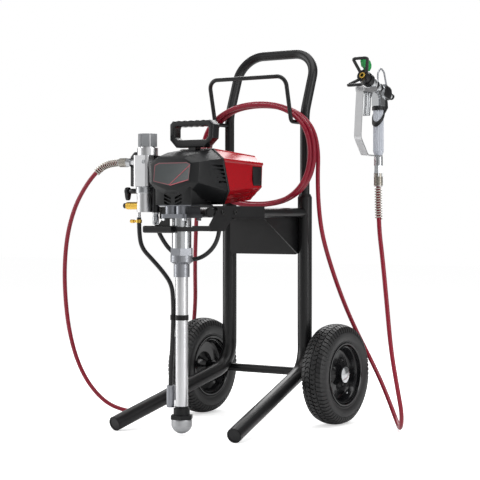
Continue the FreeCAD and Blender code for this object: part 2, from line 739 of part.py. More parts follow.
packing_z = FLANGE_BOTTOM - 13
pieces["pump_cylinder"] = fuse(
    column(CYLINDER_BOTTOM, packing_z, CYLINDER_RADIUS, CYLINDER_BORE),
    column(packing_z, FLANGE_BOTTOM, CYLINDER_RADIUS, ROD_RADIUS + RUN_CLEARANCE),
)
foot_valve = fuse(
    hexagon(V(0, PUMP_Y, HEX_BOTTOM), Z, HEX_CORNER, CYLINDER_BOTTOM - HEX_BOTTOM),
    column(VALVE_TAPER, HEX_BOTTOM, VALVE_RADIUS),
    Part.makeCone(SLEEVE_RADIUS, VALVE_RADIUS, VALVE_TAPER - VALVE_BOTTOM, V(0, PUMP_Y, VALVE_BOTTOM), Z),
)
pieces["foot_valve"] = foot_valve.cut(column(VALVE_BOTTOM, CYLINDER_BOTTOM, 8.0))
tube_top = VALVE_BOTTOM - 4
sleeve = column(SLEEVE_BOTTOM, VALVE_BOTTOM, SLEEVE_RADIUS, SIPHON_RADIUS - SIPHON_WALL)
pieces["siphon_sleeve"] = sleeve.cut(column(SLEEVE_BOTTOM, tube_top, SIPHON_RADIUS))
pieces["siphon_tube"] = column(SIPHON_FOOT, tube_top, SIPHON_RADIUS, SIPHON_RADIUS - SIPHON_WALL)
strainer_collar = fuse(
    column(COLLAR_Z, STRAINER_TOP, SIPHON_RADIUS + 1.2),
    column(GRIP_Z, COLLAR_Z, 20.6),
    hexagon(V(0, PUMP_Y, HEX_Z), Z, 29.8, GRIP_Z - HEX_Z),
)
strainer_collar = strainer_collar.cut([
    column(HEX_Z, SIPHON_FOOT, SIPHON_RADIUS - SIPHON_WALL),
    column(SIPHON_FOOT, STRAINER_TOP, SIPHON_RADIUS),
])
pieces["strainer_collar"] = strainer_collar

dome_top = V(0, PUMP_Y, HEX_Z)
dome_height = HEX_Z - STRAINER_FLOOR
dome_outer = domed(dome_top, Z * -1, DOME_RADIUS, HEX_Z - DOME_SIDE, dome_height)
dome_inner = domed(dome_top, Z * -1, DOME_RADIUS - DOME_WALL, HEX_Z - DOME_SIDE, dome_height - DOME_WALL)
pieces["strainer_dome"] = dome_outer.cut(dome_inner)

# Covers: facetted shells lofted through eight-cornered outlines


def eight(y, side_top, roof, side_bottom, keel, inset=0.0):
    """An eight-cornered outline at depth y from four (x, z) corners, drawn in by inset."""
    corners = [
        (roof[0], roof[1] - inset),
        (side_top[0] - inset, side_top[1] - inset * 0.4),
        (side_bottom[0] - inset, side_bottom[1] + inset * 0.4),
        (keel[0], keel[1] + inset),
    ]
    points = [V(x, y, z) for x, z in corners]
    points += [V(-x, y, z) for x, z in reversed(corners)]
    return Part.makePolygon(points + [points[0]])


def cover_loft(sections, inset=0.0):
    wires = [eight(*section, inset=inset) for section in sections]
    return Part.makeLoft(wires, True, True)


chin = box(-CHIN_HALF, CHIN_HALF, CHIN_FRONT, CHIN_BACK, CASTING_FLOOR + 3, CHIN_TOP)
chin_inner = CHIN_HALF - COVER_WALL
chin_hole = box(-chin_inner, chin_inner, CHIN_FRONT + COVER_WALL, CHIN_BACK + 14, CASTING_FLOOR, CHIN_TOP)
front_outer = cover_loft([SECTION_FACE, SECTION_STEP, SECTION_MID, SECTION_SEAM])
inner_face = (COVER_FRONT + COVER_WALL,) + SECTION_FACE[1:]
front_inner = cover_loft([inner_face, SECTION_STEP, SECTION_MID, SECTION_SEAM], COVER_WALL)
control_box = front_plate([
    (CONTROL_LEFT, CONTROL_BOTTOM),
    (CONTROL_LEFT, CONTROL_TOP - 12),
    (CONTROL_LEFT + 12, CONTROL_TOP),
    (CONTROL_STEP, CONTROL_TOP),
    (CONTROL_STEP, BLOCK_TOP - 0.5),
    (-80.0, BLOCK_TOP - 0.5),
    (-80.0, CONTROL_BOTTOM),
], CONTROL_FRONT, CONTROL_BACK)
control_hole = box(
    CONTROL_LEFT + COVER_WALL,
    -78.0,
    CONTROL_FRONT + COVER_WALL,
    CONTROL_BACK - COVER_WALL,
    CONTROL_BOTTOM + COVER_WALL,
    BLOCK_TOP - 0.5 - COVER_WALL,
)
front_cover = fuse(front_outer, chin, control_box).cut([front_inner, chin_hole, control_hole])
bridge_clear = box(-100.0, -70.0, FILTER_Y - 12, CONTROL_FRONT - 0.5, 632.0, 688.0)
pocket_foot = V(FILTER_X + POCKET_DX, FILTER_Y + POCKET_DY, POCKET_BOTTOM)
pocket_clear = cyl(pocket_foot - Z * 4, Z, POCKET_RADIUS + 0.8, POCKET_HEIGHT + 6)
front_cover = front_cover.cut([bridge_clear, pocket_clear])
pieces["front_cover"] = front_cover

outer = cover_loft([SECTION_SEAM, SECTION_BACK])
inner_back = (COVER_BACK - COVER_WALL,) + SECTION_BACK[1:]
inner = cover_loft([SECTION_SEAM, inner_back], COVER_WALL)
cap_zone = box(-100, 100, CAP_FRONT, COVER_BACK + 5, 622.0, 681.0)
side_plateau = box(PANEL_FACE, -84.0, COVER_SEAM, PANEL_END, PANEL_LOW, PANEL_HIGH)
shell = fuse(outer, side_plateau).cut(inner)
knob_z = GEAR_Z + 21
knob_bore = cyl(V(PANEL_FACE - 1, KNOB_Y, knob_z), X, 4.0 + RUN_CLEARANCE, 30.0)
switch_z = GEAR_Z + 19
inlet_z = GEAR_Z + 14
switch_hole = box(PANEL_FACE - 1, -78.0, SWITCH_Y - 12, SWITCH_Y + 12, switch_z - 8, switch_z + 8)
pivot_x = PANEL_FACE + 3.2
pivot_bore = cyl(V(pivot_x, SWITCH_Y, switch_z - 11), Z, 1.2 + RUN_CLEARANCE, 22.0)
inlet_hole = box(PANEL_FACE - 1, -78.0, INLET_Y - 15, INLET_Y + 15, inlet_z - 11, inlet_z + 11)
pieces["motor_cover"] = shell.cut([cap_zone, knob_bore, switch_hole, pivot_bore, inlet_hole])
pieces["rear_cap"] = shell.common(cap_zone)

# Carry handle: a flat ring across the top, with a short neck

handle_ring = front_plate([
    (-HANDLE_HALF + 9, HANDLE_Z1),
    (HANDLE_HALF - 12, HANDLE_Z1),
    (HANDLE_HALF, HANDLE_Z1 - 12),
    (HANDLE_HALF - 2, HANDLE_Z0 + 22),
    (HANDLE_HALF - 26, HANDLE_Z0),
    (-HANDLE_HALF + 20, HANDLE_Z0),
    (-HANDLE_HALF, HANDLE_Z0 + 20),
    (-HANDLE_HALF, HANDLE_Z1 - 9),
], HANDLE_Y - HANDLE_DEPTH / 2, HANDLE_Y + HANDLE_DEPTH / 2)
handle_ring = handle_ring.makeFillet(4.5, handle_ring.Edges)
finger_gap = box(-FINGER_HALF, FINGER_HALF, HANDLE_Y - 20, HANDLE_Y + 20, FINGER_Z0, FINGER_Z1)
upright_edges = [e for e in finger_gap.Edges if abs(e.Length - 40) < 0.01]
finger_gap = finger_gap.makeFillet(6.0, upright_edges)
neck_post = box(-11, 11, HANDLE_Y - 12, HANDLE_Y + 12, 700.0, HANDLE_Z0 + 4)
carry = fuse(handle_ring.cut(finger_gap), neck_post.cut(front_outer))
pieces["carry_handle"] = carry

# Pressure knob, rocker switch and power inlet on the left side

knob_face = PANEL_FACE - 0.5
knob = cyl(V(knob_face, KNOB_Y, knob_z), X * -1, KNOB_RADIUS, KNOB_DEPTH)
knob = knob.makeFillet(2.5, [e for e in knob.Edges if e.CenterOfMass.x < knob_face - KNOB_DEPTH + 1])
pointer_x = knob_face - KNOB_DEPTH - 1
pointer = box(pointer_x, pointer_x + 1.5, KNOB_Y - 1.5, KNOB_Y + 1.5, knob_z + 4, knob_z + KNOB_RADIUS - 2)
pieces["pressure_knob"] = fuse(knob, pointer, cyl(V(knob_face, KNOB_Y, knob_z), X, 4.0, 12.0))
rocker = box(pivot_x - 5.2, pivot_x + 2.8, SWITCH_Y - 10.5, SWITCH_Y + 10.5, switch_z - 6.5, switch_z + 6.5)
rocker = fuse(rocker, cyl(V(pivot_x, SWITCH_Y, switch_z - 10), Z, 1.2, 20.0))
rocker.rotate(V(pivot_x, SWITCH_Y, switch_z), Z, -ROCKER_TILT)
pieces["power_switch"] = rocker
inlet_face = PANEL_FACE - 1.5
inlet = box(inlet_face, inlet_face + 14.5, INLET_Y - 15, INLET_Y + 15, inlet_z - 11, inlet_z + 11)
inlet = inlet.cut(box(inlet_face, inlet_face + 10.5, INLET_Y - 11, INLET_Y + 11, inlet_z - 7, inlet_z + 7))
blade_x = inlet_face + 3.5
blades = []
for dy in (-7, 0, 7):
    blades.append(box(blade_x, blade_x + 8, INLET_Y + dy - 1, INLET_Y + dy + 1, inlet_z - 3, inlet_z + 3))
pieces["power_inlet"] = fuse(inlet, *blades)

# Filter column: block, bowl and cap, with the outlet nipple at the left

block = box(FILTER_X - 24, FILTER_X + 24, FILTER_Y - 20, CONTROL_FRONT - 0.5, BLOCK_BOTTOM, BLOCK_TOP)
block = block.makeFillet(8.0, [e for e in block.Edges if abs(e.Length - (BLOCK_TOP - BLOCK_BOTTOM)) < 0.01])
bridge = box(FILTER_X + 20, -CAST_HALF, FILTER_Y - 10, CONTROL_FRONT - 1, 634.0, 686.0)
cap_spot = V(FILTER_X + 3, FILTER_Y + 8, BLOCK_TOP)
collar = cyl(cap_spot, Z, COLLAR_RADIUS, COLLAR_HEIGHT)
nipple_end = FILTER_X - 43
nipple = cyl(V(nipple_end, FILTER_Y, OUTLET_Z), X, 7.0, 22.0)
pocket = cyl(pocket_foot, Z, POCKET_RADIUS, POCKET_HEIGHT)
filter_bore = cyl(V(FILTER_X, FILTER_Y, BLOCK_BOTTOM), Z, 11.0, BLOCK_TOP + 4 - BLOCK_BOTTOM)
cap_bore = cyl(cap_spot + Z * 2, Z, CAP_NECK, COLLAR_HEIGHT)
pieces["filter_block"] = fuse(block, bridge, collar, nipple, pocket).cut([filter_bore, cap_bore])
bowl = fuse(
    cyl(V(FILTER_X, FILTER_Y, BOWL_BOTTOM), Z, BOWL_RADIUS, BOWL_STEP - BOWL_BOTTOM),
    cyl(V(FILTER_X, FILTER_Y, BOWL_STEP), Z, BOWL_RADIUS - 3, BLOCK_BOTTOM - BOWL_STEP),
)
barb_x = FILTER_X - 13.8
barb_y = FILTER_Y - 5.9
barb = cyl(V(barb_x, barb_y, RETURN_TOP - 15), Z, RETURN_BORE, BOWL_BOTTOM + 15 - RETURN_TOP)
bowl = fuse(bowl.cut(cyl(V(FILTER_X, FILTER_Y, BOWL_BOTTOM + 4), Z, 14.0, 80.0)), barb)
pieces["filter_bowl"] = bowl.cut(pieces["filter_block"])
cap_neck = cyl(cap_spot + Z * 10, Z, CAP_NECK, COLLAR_HEIGHT - 7)
cap_flange = cyl(cap_spot + Z * COLLAR_HEIGHT, Z, 19.0, 3.0)
cap_head = hexagon(cap_spot + Z * (COLLAR_HEIGHT + 2), Z, CAP_CORNER, CAP_HEAD)
cap_head.rotate(cap_spot, Z, CAP_TURN)
pieces["filter_cap"] = fuse(cap_head, cap_neck, cap_flange)

# Prime valve below, with a lever that turns a quarter

lever_y = FILTER_Y - 4
valve = Part.makeCompound([
    fuse(
        cyl(V(-164.0, lever_y, VALVE_Z), X, 9.6, 40.0),
        cyl(V(-173.0, lever_y, VALVE_Z), X, 6.5, 10.0),
    ),
    cyl(V(LEVER_X + 1, lever_y, LEVER_Z), X, LEVER_PIN, 43.0),
])
bowl_solid = cyl(V(FILTER_X, FILTER_Y, BOWL_BOTTOM - 5), Z, BOWL_RADIUS, BOWL_STEP - BOWL_BOTTOM)
pieces["prime_valve"] = valve.cut([bowl_solid, pieces["filter_bowl"]])
lever_tail = side_plate([
    (lever_y - 7, LEVER_Z - 6),
    (lever_y + 7, LEVER_Z - 6),
    (lever_y + 4, LEVER_Z - 23),
    (lever_y - 4, LEVER_Z - 23),
], LEVER_X + 2, LEVER_X + 9)
lever = fuse(cyl(V(LEVER_X, lever_y, LEVER_Z), X, 10.0, 11.0), lever_tail)
pieces["prime_lever"] = lever.cut(cyl(V(LEVER_X - 1, lever_y, LEVER_Z), X, LEVER_PIN + RUN_CLEARANCE, 20.0))

# Return tube, its metal end, and the clip that ties it to the siphon tube

side_way = V(-0.82, -0.571, 0)
front_way = V(0.571, -0.82, 0)
return_high = V(0, PUMP_Y, 0) + side_way * RETURN_HIGH - front_way * RETURN_HIGH_BACK
return_low = V(0, PUMP_Y, 0) + side_way * RETURN_LOW - front_way * RETURN_LOW_BACK
return_mid = return_high + (return_low - return_high) * 0.35
return_points = [
    V(barb_x, barb_y, RETURN_TOP),
    V(barb_x, barb_y, 499.0),
    V(-115.5, -398.5, 465.0),
    V(-86.0, -397.5, 440.0),
    V(-51.0, -396.0, 408.0),
    V(-25.0, -394.5, 376.0),
    V(return_high.x, return_high.y, 335.0),
    V(return_high.x, return_high.y, 285.0),
    V(return_mid.x, return_mid.y, 225.0),
    V(return_low.x, return_low.y, 165.0),
    V(return_low.x, return_low.y, RETURN_FOOT),
]
return_solid, return_path = cord_tube("return_tube", return_points, RETURN_RADIUS)
return_bore = swept(return_path, RETURN_BORE)
pieces["return_tube"] = return_solid.cut(return_bore)
return_end = V(return_low.x, return_low.y, RETURN_OUTLET)
end_sleeve = cyl(return_end, Z, RETURN_RADIUS + 4.5, 55.0)
outlet_bore = cyl(return_end, Z, OUTLET_BORE, RETURN_FOOT - RETURN_OUTLET)
socket = cyl(V(return_low.x, return_low.y, RETURN_FOOT), Z, RETURN_RADIUS, 20.0)
pieces["return_end"] = end_sleeve.cut([socket, outlet_bore])
clip = fuse(
    column(CLIP_Z, CLIP_Z + CLIP_HEIGHT, SIPHON_RADIUS + 1.5),
    cyl(V(return_high.x, return_high.y, CLIP_Z), Z, RETURN_RADIUS + 2.0, CLIP_HEIGHT),
    cyl(V(SIPHON_RADIUS - 0.4, PUMP_Y - 11, CLIP_Z + 2), Z, 3.5, CLIP_HEIGHT - 4),
)
pieces["tube_clip"] = clip.cut([column(CLIP_Z - 1, CLIP_Z + 15, SIPHON_RADIUS), return_solid])

# Pressure hose from the filter, behind the cylinder and up to the saddle

transfer_points = [
    pocket_foot,
    pocket_foot - Z * 28,
    V(-73.0, -374.0, 492.0),
    V(-57.0, -358.0, 460.0),
    V(-26.0, -344.0, 440.0),
    V(10.0, -342.0, 438.0),
    V(46.0, -345.0, 451.0),
    V(75.0, -347.0, 476.0),
    V(88.0, -347.0, 511.0),
    V(84.0, -347.0, 545.0),
    V(84.0, -347.0, saddle_top - SHEET),
]
pieces["transfer_hose"], _ = cord_tube("transfer_hose", transfer_points, TRANSFER_RADIUS)

# Pail bar in front of the cylinder

bar_right = saddle_side
grip = box(BAR_LEFT, 0.0, BAR_Y - 16.5, BAR_Y, BAR_TOP - 18, BAR_TOP)
grip = grip.makeFillet(5.0, [e for e in grip.Edges if e.CenterOfMass.x < -1])
gusset_outline = [
    (-50, BAR_TOP - 9),
    (-50, BAR_TOP),
    (-34, FLANGE_BOTTOM),
    (-15, FLANGE_BOTTOM),
    (-15, BAR_TOP - 9),
]
pieces["pail_bar"] = fuse(
    grip,
    box(-2.0, 62.0, BAR_Y - 4.5, BAR_Y, BAR_TOP - 14, BAR_TOP - 3),
    box(60.0, bar_right, BAR_Y - 9.5, BAR_Y + 2.5, BAR_TOP - 13, BAR_TOP),
    front_plate(gusset_outline, BAR_Y - 4.5, BAR_Y),
)

# Hose ends: two identical couplings, their spring guards, and the hose itself


def coupling(face, heading):
    """Swivel nut and collar; face is where it screws on and heading leads to the hose."""
    nut = hexagon(face, heading, 12.0, 13.0)
    collar = cyl(face + heading * 13.0, heading, 10.4, 25.0)
    return fuse(nut, collar)


outlet = V(nipple_end, FILTER_Y, OUTLET_Z)
pump_heading = X * -1
pump_face = outlet + pump_heading * COUPLING_LENGTH
gun_top = V(GUN_X, GRIP_Y, SWIVEL_BOTTOM - 0.3)
gun_face = gun_top - Z * COUPLING_LENGTH
pieces["hose_fittings"] = Part.makeCompound([coupling(outlet, pump_heading), coupling(gun_top, Z * -1)])

# The coil hangs on the two rack hooks: turns that differ in size, each behind the one before


def quarter(p0, t0, p1, t1, reach, from_end):
    """Two tangent arcs for a quarter turn, with the given tangent length at one of its ends."""
    if from_end:
        first = quarter(p1, t1 * -1, p0, t0 * -1, reach, False)
        return [first[1], first[0]]
    gap = p1 - p0
    other = (gap.dot(gap) / 2 - reach * gap.dot(t0)) / (gap.dot(t1) + reach * (1 - t0.dot(t1)))
    joint = p0 + t0 * reach + (gap - t0 * reach - t1 * other) * (reach / (reach + other))
    return [arc_from(p0, t0, joint), arc_from(p1, t1 * -1, joint)]


coil_middle = V(COIL_X, 0, COIL_Z)
coil_stations = []
for i in range(int(4 * COIL_TURNS) + 1):
    turn, part = divmod(i, 4)
    climb = Y * (COIL_PITCH / (2 * math.pi * COIL_LEFTS[0]))
    spot = coil_middle + Y * (COIL_FRONT + COIL_PITCH * i / 4)
    if part == 0:
        coil_stations.append((spot - X * COIL_LEFTS[turn], (Z + climb).normalize()))
    elif part == 1:
        coil_stations.append((spot + Z * COIL_TOPS[turn], (X + climb).normalize()))
    elif part == 2:
        coil_stations.append((spot + X * COIL_RIGHTS[turn], (climb - Z).normalize()))
    else:
        coil_stations.append((spot - Z * COIL_BOTTOMS[turn], (climb - X).normalize()))
coil_edges = []
for i in range(len(coil_stations) - 1):
    (p0, t0), (p1, t1) = coil_stations[i], coil_stations[i + 1]
    rise = abs(p1.z - p0.z)
    coil_edges += quarter(p0, t0, p1, t1, SIDE_REACH * rise, i % 2 == 1)
coil_in, coil_in_heading = coil_stations[0]
coil_out, coil_out_heading = coil_stations[-1]
end_run = 2 * HOSE_RADIUS
coil_start = coil_in - coil_in_heading * end_run
coil_end = coil_out + coil_out_heading * end_run
first_run = Part.LineSegment(coil_start, coil_in).toShape()
last_run = Part.LineSegment(coil_out, coil_end).toShape()
pieces["hose_coil"] = swept([first_run] + coil_edges + [last_run], HOSE_RADIUS)


def least_self_gap(edges, diameter, skip):
    """The least gap between parts of a wound bar that are more than skip apart along it."""
    total = sum(e.Length for e in edges)
    count = int(total / 6)
    spots = [along(edges, total * i / count)[0] for i in range(count)]
    apart = int(skip / 6)
    least = 1e9
    for i in range(count):
        for j in range(i + apart, count):
            least = min(least, spots[i].distanceToPoint(spots[j]))
    return least - diameter


print("coil length", round(sum(e.Length for e in coil_edges), 1))
print("coil least gap", round(least_self_gap(coil_edges, 2 * HOSE_RADIUS, 300.0), 2), "wanted", NEAREST_GAP)

pump_points = [
    pump_face,
    V(-233.0, FILTER_Y, OUTLET_Z),
    V(-274.0, -394.0, 660.0),
    V(-317.0, -388.0, 620.0),
    V(-362.0, -374.0, 570.0),
    V(-404.0, -354.0, 500.0),
    V(-437.0, -328.0, 415.0),
    V(-461.0, -297.0, 325.0),
    V(-478.0, -262.0, 235.0),
    V(-481.0, -226.0, 150.0),
    V(-468.0, -190.0, 80.0),
    V(-434.0, -158.0, 28.0),
    V(-386.0, -136.0, 7.0),
    V(-331.0, -128.0, 6.0),
    V(-290.0, -94.0, 22.0),
    V(-272.0, -48.0, 66.0),
    V(-267.0, -8.0, 130.0),
    V(-267.0, 24.0, 205.0),
    V(-268.0, 42.0, 300.0),
    V(-250.0, 14.0, 400.0),
    V(-220.0, -24.0, 490.0),
    V(-198.0, -48.0, 575.0),
    coil_start - coil_in_heading * 60,
    coil_start,
]
gun_points = [
    coil_end,
    coil_end + coil_out_heading * 55,
    V(179.0, -24.0, 570.0),
    V(187.0, -18.0, 495.0),
    V(190.0, 24.0, 410.0),
    V(184.0, 95.0, 320.0),
    V(192.0, 148.0, 240.0),
    V(228.0, 160.0, 168.0),
    V(288.0, 118.0, 108.0),
    V(346.0, 60.0, 60.0),
    V(394.0, 12.0, 16.0),
    V(430.0, -38.0, 7.0),
    V(458.0, -82.0, 52.0),
    V(449.0, -92.0, 122.0),
    V(429.0, -88.0, 215.0),
    V(415.0, -84.0, 330.0),
    V(401.0, -80.0, 440.0),
    V(GUN_X, GRIP_Y, 530.0),
    gun_face,
]
pieces["hose_pump_side"], pump_path = cord_tube("hose_pump_side", pump_points, HOSE_RADIUS)
pieces["hose_gun_side"], gun_path = cord_tube("hose_gun_side", gun_points, HOSE_RADIUS)


def spring_around(edges, from_end):
    """A spring guard wound round the hose, with a straight end on its coupling."""
    total = sum(e.Length for e in edges)
    lead = 2 * SPRING_WIRE
    pitch = SPRING_LENGTH / SPRING_TURNS
    stations = []
    for i in range(2 * SPRING_TURNS + 1):
        travel = lead + 1.5 + pitch * i / 2
        spot, heading = along(edges, total - travel if from_end else travel)
        if from_end:
            heading = heading * -1
        first = heading.cross(V(0.1, 1, 0.2)).normalize()
        second = heading.cross(first)
        angle = i * math.pi
        radial = first * math.cos(angle) + second * math.sin(angle)
        round_way = second * math.cos(angle) - first * math.sin(angle)
        climb = heading * (pitch / (2 * math.pi))
        stations.append((spot + radial * SPRING_MEAN, (round_way * SPRING_MEAN + climb).normalize()))
    start_spot, start_heading = along(edges, total if from_end else 0.0)
    if from_end:
        start_heading = start_heading * -1
    first = start_heading.cross(V(0.1, 1, 0.2)).normalize()
    second = start_heading.cross(first)
    back_angle = -math.radians(50)
    foot_spot = start_spot + (first * math.cos(back_angle) + second * math.sin(back_angle)) * SPRING_MEAN
    knee_spot = foot_spot + start_heading * lead
    chain = [Part.LineSegment(foot_spot, knee_spot).toShape()]
    chain += biarc(knee_spot, start_heading, stations[0][0], stations[0][1])
    chain += wound_edges(stations)
    last_spot, last_heading = stations[-1]
    chain.append(Part.LineSegment(last_spot, last_spot + last_heading * 2 * SPRING_WIRE).toShape())
    return swept(chain, SPRING_WIRE), chain


spring_a, chain_a = spring_around(pump_path, False)
spring_b, chain_b = spring_around(gun_path, True)
pieces["hose_springs"] = Part.makeCompound([spring_a, spring_b])
print("spring gap between curls", round(SPRING_LENGTH / SPRING_TURNS - 2 * SPRING_WIRE, 2))

# Gun, drawn in its own plane: u runs out along the barrel from the tip, v is square to it

tilt = math.radians(BARREL_TILT)
out_y = -math.cos(tilt)
out_z = math.sin(tilt)


def gun_at(x, u, v):
    """A point from its place across, along and above the barrel line."""
    return V(GUN_X + x, TIP_Y + u * out_y + v * out_z, TIP_Z + u * out_z - v * out_y)


barrel_axis = V(0, out_y, out_z)
lift_axis = V(0, out_z, -out_y)


def barrel_cyl(u0, u1, radius):
    return cyl(gun_at(0, u0, 0), barrel_axis, radius, u1 - u0)


def barrel_plate(outline, x0, x1):
    return prism([gun_at(x0, u, v) for u, v in outline], V(x1 - x0, 0, 0))


stem = box(
    GUN_X - STEM_HALF,
    GUN_X + STEM_HALF,
    GRIP_Y - STEM_DEPTH,
    GRIP_Y + STEM_DEPTH,
    GRIP_TOP,
    STEM_TOP,
)
rear_block = barrel_plate([(-84, -17), (-84, 14), (-112, 15), (-122, 8), (-122, -12), (-112, -19)], -14, 14)
trigger_ear = box(GUN_X - 6, GUN_X + 6, TRIGGER_Y - 5, TRIGGER_Y + 7, TRIGGER_Z - 6, TRIGGER_Z + 14)
trigger_pin = cyl(V(GUN_X - 9.5, TRIGGER_Y, TRIGGER_Z), X, 2.0, 19.0)
lock_pin = cyl(V(GUN_X + 9.0, LOCK_Y, LOCK_Z), X, 2.0, 4.5)
gun_body = fuse(
    barrel_cyl(-122, -26, BARREL_RADIUS),
    barrel_cyl(-26, -12, 10.0),
    barrel_cyl(-42, -32, BARREL_RADIUS + 1.5),
    stem,
    rear_block,
    trigger_ear,
    trigger_pin,
    lock_pin,
    cyl(gun_at(0, -134, KNOB_RISE), barrel_axis, 9.0, 16.0),
    cyl(gun_at(0, -147, KNOB_RISE), barrel_axis, 7.0, 14.0),
)
pieces["gun_body"] = gun_body

grip_base = V(GUN_X, GRIP_Y, GRIP_BOTTOM)
handle_grip = fuse(
    cyl(grip_base + Z * GRIP_TAPER, Z, GRIP_RADIUS, GRIP_TOP - GRIP_BOTTOM - GRIP_TAPER),
    Part.makeCone(10.0, GRIP_RADIUS, GRIP_TAPER, grip_base, Z),
    cyl(grip_base - Z * 11, Z, 6.0, 11.0),
)
pieces["gun_grip"] = handle_grip
swivel = fuse(
    cyl(V(GUN_X, GRIP_Y, SWIVEL_BOTTOM + 14), Z, 11.0, SWIVEL_TOP - SWIVEL_BOTTOM - 14),
    hexagon(V(GUN_X, GRIP_Y, SWIVEL_BOTTOM), Z, 11.5, 14.0),
)
spigot_hole = cyl(V(GUN_X, GRIP_Y, GRIP_BOTTOM - 11.5), Z, 6.0 + RUN_CLEARANCE, 30.0)
pieces["gun_swivel"] = swivel.cut(spigot_hole)

finger_plate = prism([
    V(GUN_X - 9, PLATE_Y - 2, TRIGGER_Z - 5),
    V(GUN_X - 9, PLATE_Y + 2, TRIGGER_Z - 5),
    V(GUN_X - 9, PLATE_Y + 1, TRIGGER_Z - 36),
    V(GUN_X - 9, PLATE_Y - 3, TRIGGER_Z - 65),
    V(GUN_X - 9, PLATE_Y - 7, TRIGGER_Z - 65),
    V(GUN_X - 9, PLATE_Y - 3, TRIGGER_Z - 36),
], X * 18)
cheeks = []
for x0 in (-9.0, 6.5):
    cheek = side_plate([
        (PLATE_Y, TRIGGER_Z - 5),
        (PLATE_Y, TRIGGER_Z - 24),
        (TRIGGER_Y + 4, TRIGGER_Z - 4),
        (TRIGGER_Y + 4, TRIGGER_Z + 4),
        (TRIGGER_Y - 5, TRIGGER_Z + 4),
    ], GUN_X + x0, GUN_X + x0 + 2.5)
    cheeks.append(cheek)
trigger = fuse(finger_plate, cheeks[0], cheeks[1])
pieces["gun_trigger"] = trigger.cut(cyl(V(GUN_X - 12, TRIGGER_Y, TRIGGER_Z), X, 2.0 + RUN_CLEARANCE, 24.0))

lock_x = GUN_X + 10.3
lock = fuse(
    cyl(V(lock_x, LOCK_Y, LOCK_Z), X, 6.0, 2.8),
    box(lock_x, lock_x + 2.8, LOCK_Y - 3, LOCK_Y + 3, LOCK_Z - 18, LOCK_Z),
)
pieces["gun_trigger_lock"] = lock.cut(cyl(V(GUN_X + 9, LOCK_Y, LOCK_Z), X, 2.0 + RUN_CLEARANCE, 6.0))

nut = barrel_cyl(-25.5, -10, 17.0).cut(barrel_cyl(-26, -11.5, 10.0 + RUN_CLEARANCE))
hub = barrel_cyl(-11.5, 9, 15.0)


def wing(angle, length, width):
    """A forward loop of the tip guard, leaning off the barrel line by angle degrees."""
    lean = math.radians(angle)
    root_u = 3.0
    root_v = 6.0 if angle > 0 else -6.0
    end_u = root_u + length * math.cos(lean)
    end_v = root_v + length * math.sin(lean)
    points = [
        gun_at(-7, root_u, root_v),
        gun_at(-width, end_u, end_v),
        gun_at(width, end_u, end_v),
        gun_at(7, root_u, root_v),
    ]
    return swept(bent_edges(points, [7.0, 7.0]), 2.6)


guard = fuse(nut, hub, wing(46, 42, 21), wing(-42, 46, 21))
tip_bore = cyl(gun_at(0, 0, -14), lift_axis, TIP_RADIUS + RUN_CLEARANCE, 60.0)
spray_bore = barrel_cyl(0, 12, 3.5)
pieces["gun_tip_guard"] = guard.cut([tip_bore, spray_bore])
tip_key = barrel_plate([
    (-16, 21),
    (16, 21),
    (24, 31),
    (25, 42),
    (14, 47),
    (-12, 47),
    (-21, 40),
    (-22, 32),
], -3.2, 3.2)
tip_barrel = cyl(gun_at(0, 0, -13.5), lift_axis, TIP_RADIUS, 35.0)
pieces["gun_tip"] = fuse(tip_key, tip_barrel)

hook_points = [
    V(GUN_X, -83.0, STEM_TOP + 2),
    V(GUN_X, -82.0, STEM_TOP + 42),
    V(GUN_X, -67.0, STEM_TOP + 56),
    V(GUN_X, -50.0, STEM_TOP + 46),
    V(GUN_X, -26.0, STEM_TOP - 16),
]
hook = swept(bent_edges(hook_points, [8.0, 9.0, 9.0]), 2.2)
pieces["gun_hook"] = hook.cut(gun_body)

band = ring(V(GUN_X, GRIP_Y, 814.0), Z, GRIP_RADIUS + 2.6, GRIP_RADIUS, 10.0)
hoop_wide = ring(V(GUN_X, GRIP_Y, 762.0), Z, GRIP_RADIUS + 2.8, GRIP_RADIUS, 62.0)
hoop_slab = box(-30, 30, -60, 60, -2.6, 2.6)
hoop_slab.rotate(V(0, 0, 0), X, 55)
hoop_slab.translate(V(GUN_X, GRIP_Y, 800.0))
hoop = hoop_wide.common(hoop_slab)
hump = side_plate([
    (GRIP_Y + 12, 802.0),
    (GRIP_Y + 24, 810.0),
    (GRIP_Y + 36, 822.0),
    (GRIP_Y + 34, 838.0),
    (GRIP_Y + 18, 856.0),
    (GRIP_Y + 12, 856.0),
], GUN_X - 8, GUN_X + 8)
strap = fuse(band, hoop, hump)
pieces["gun_strap"] = strap.cut([gun_body, handle_grip])

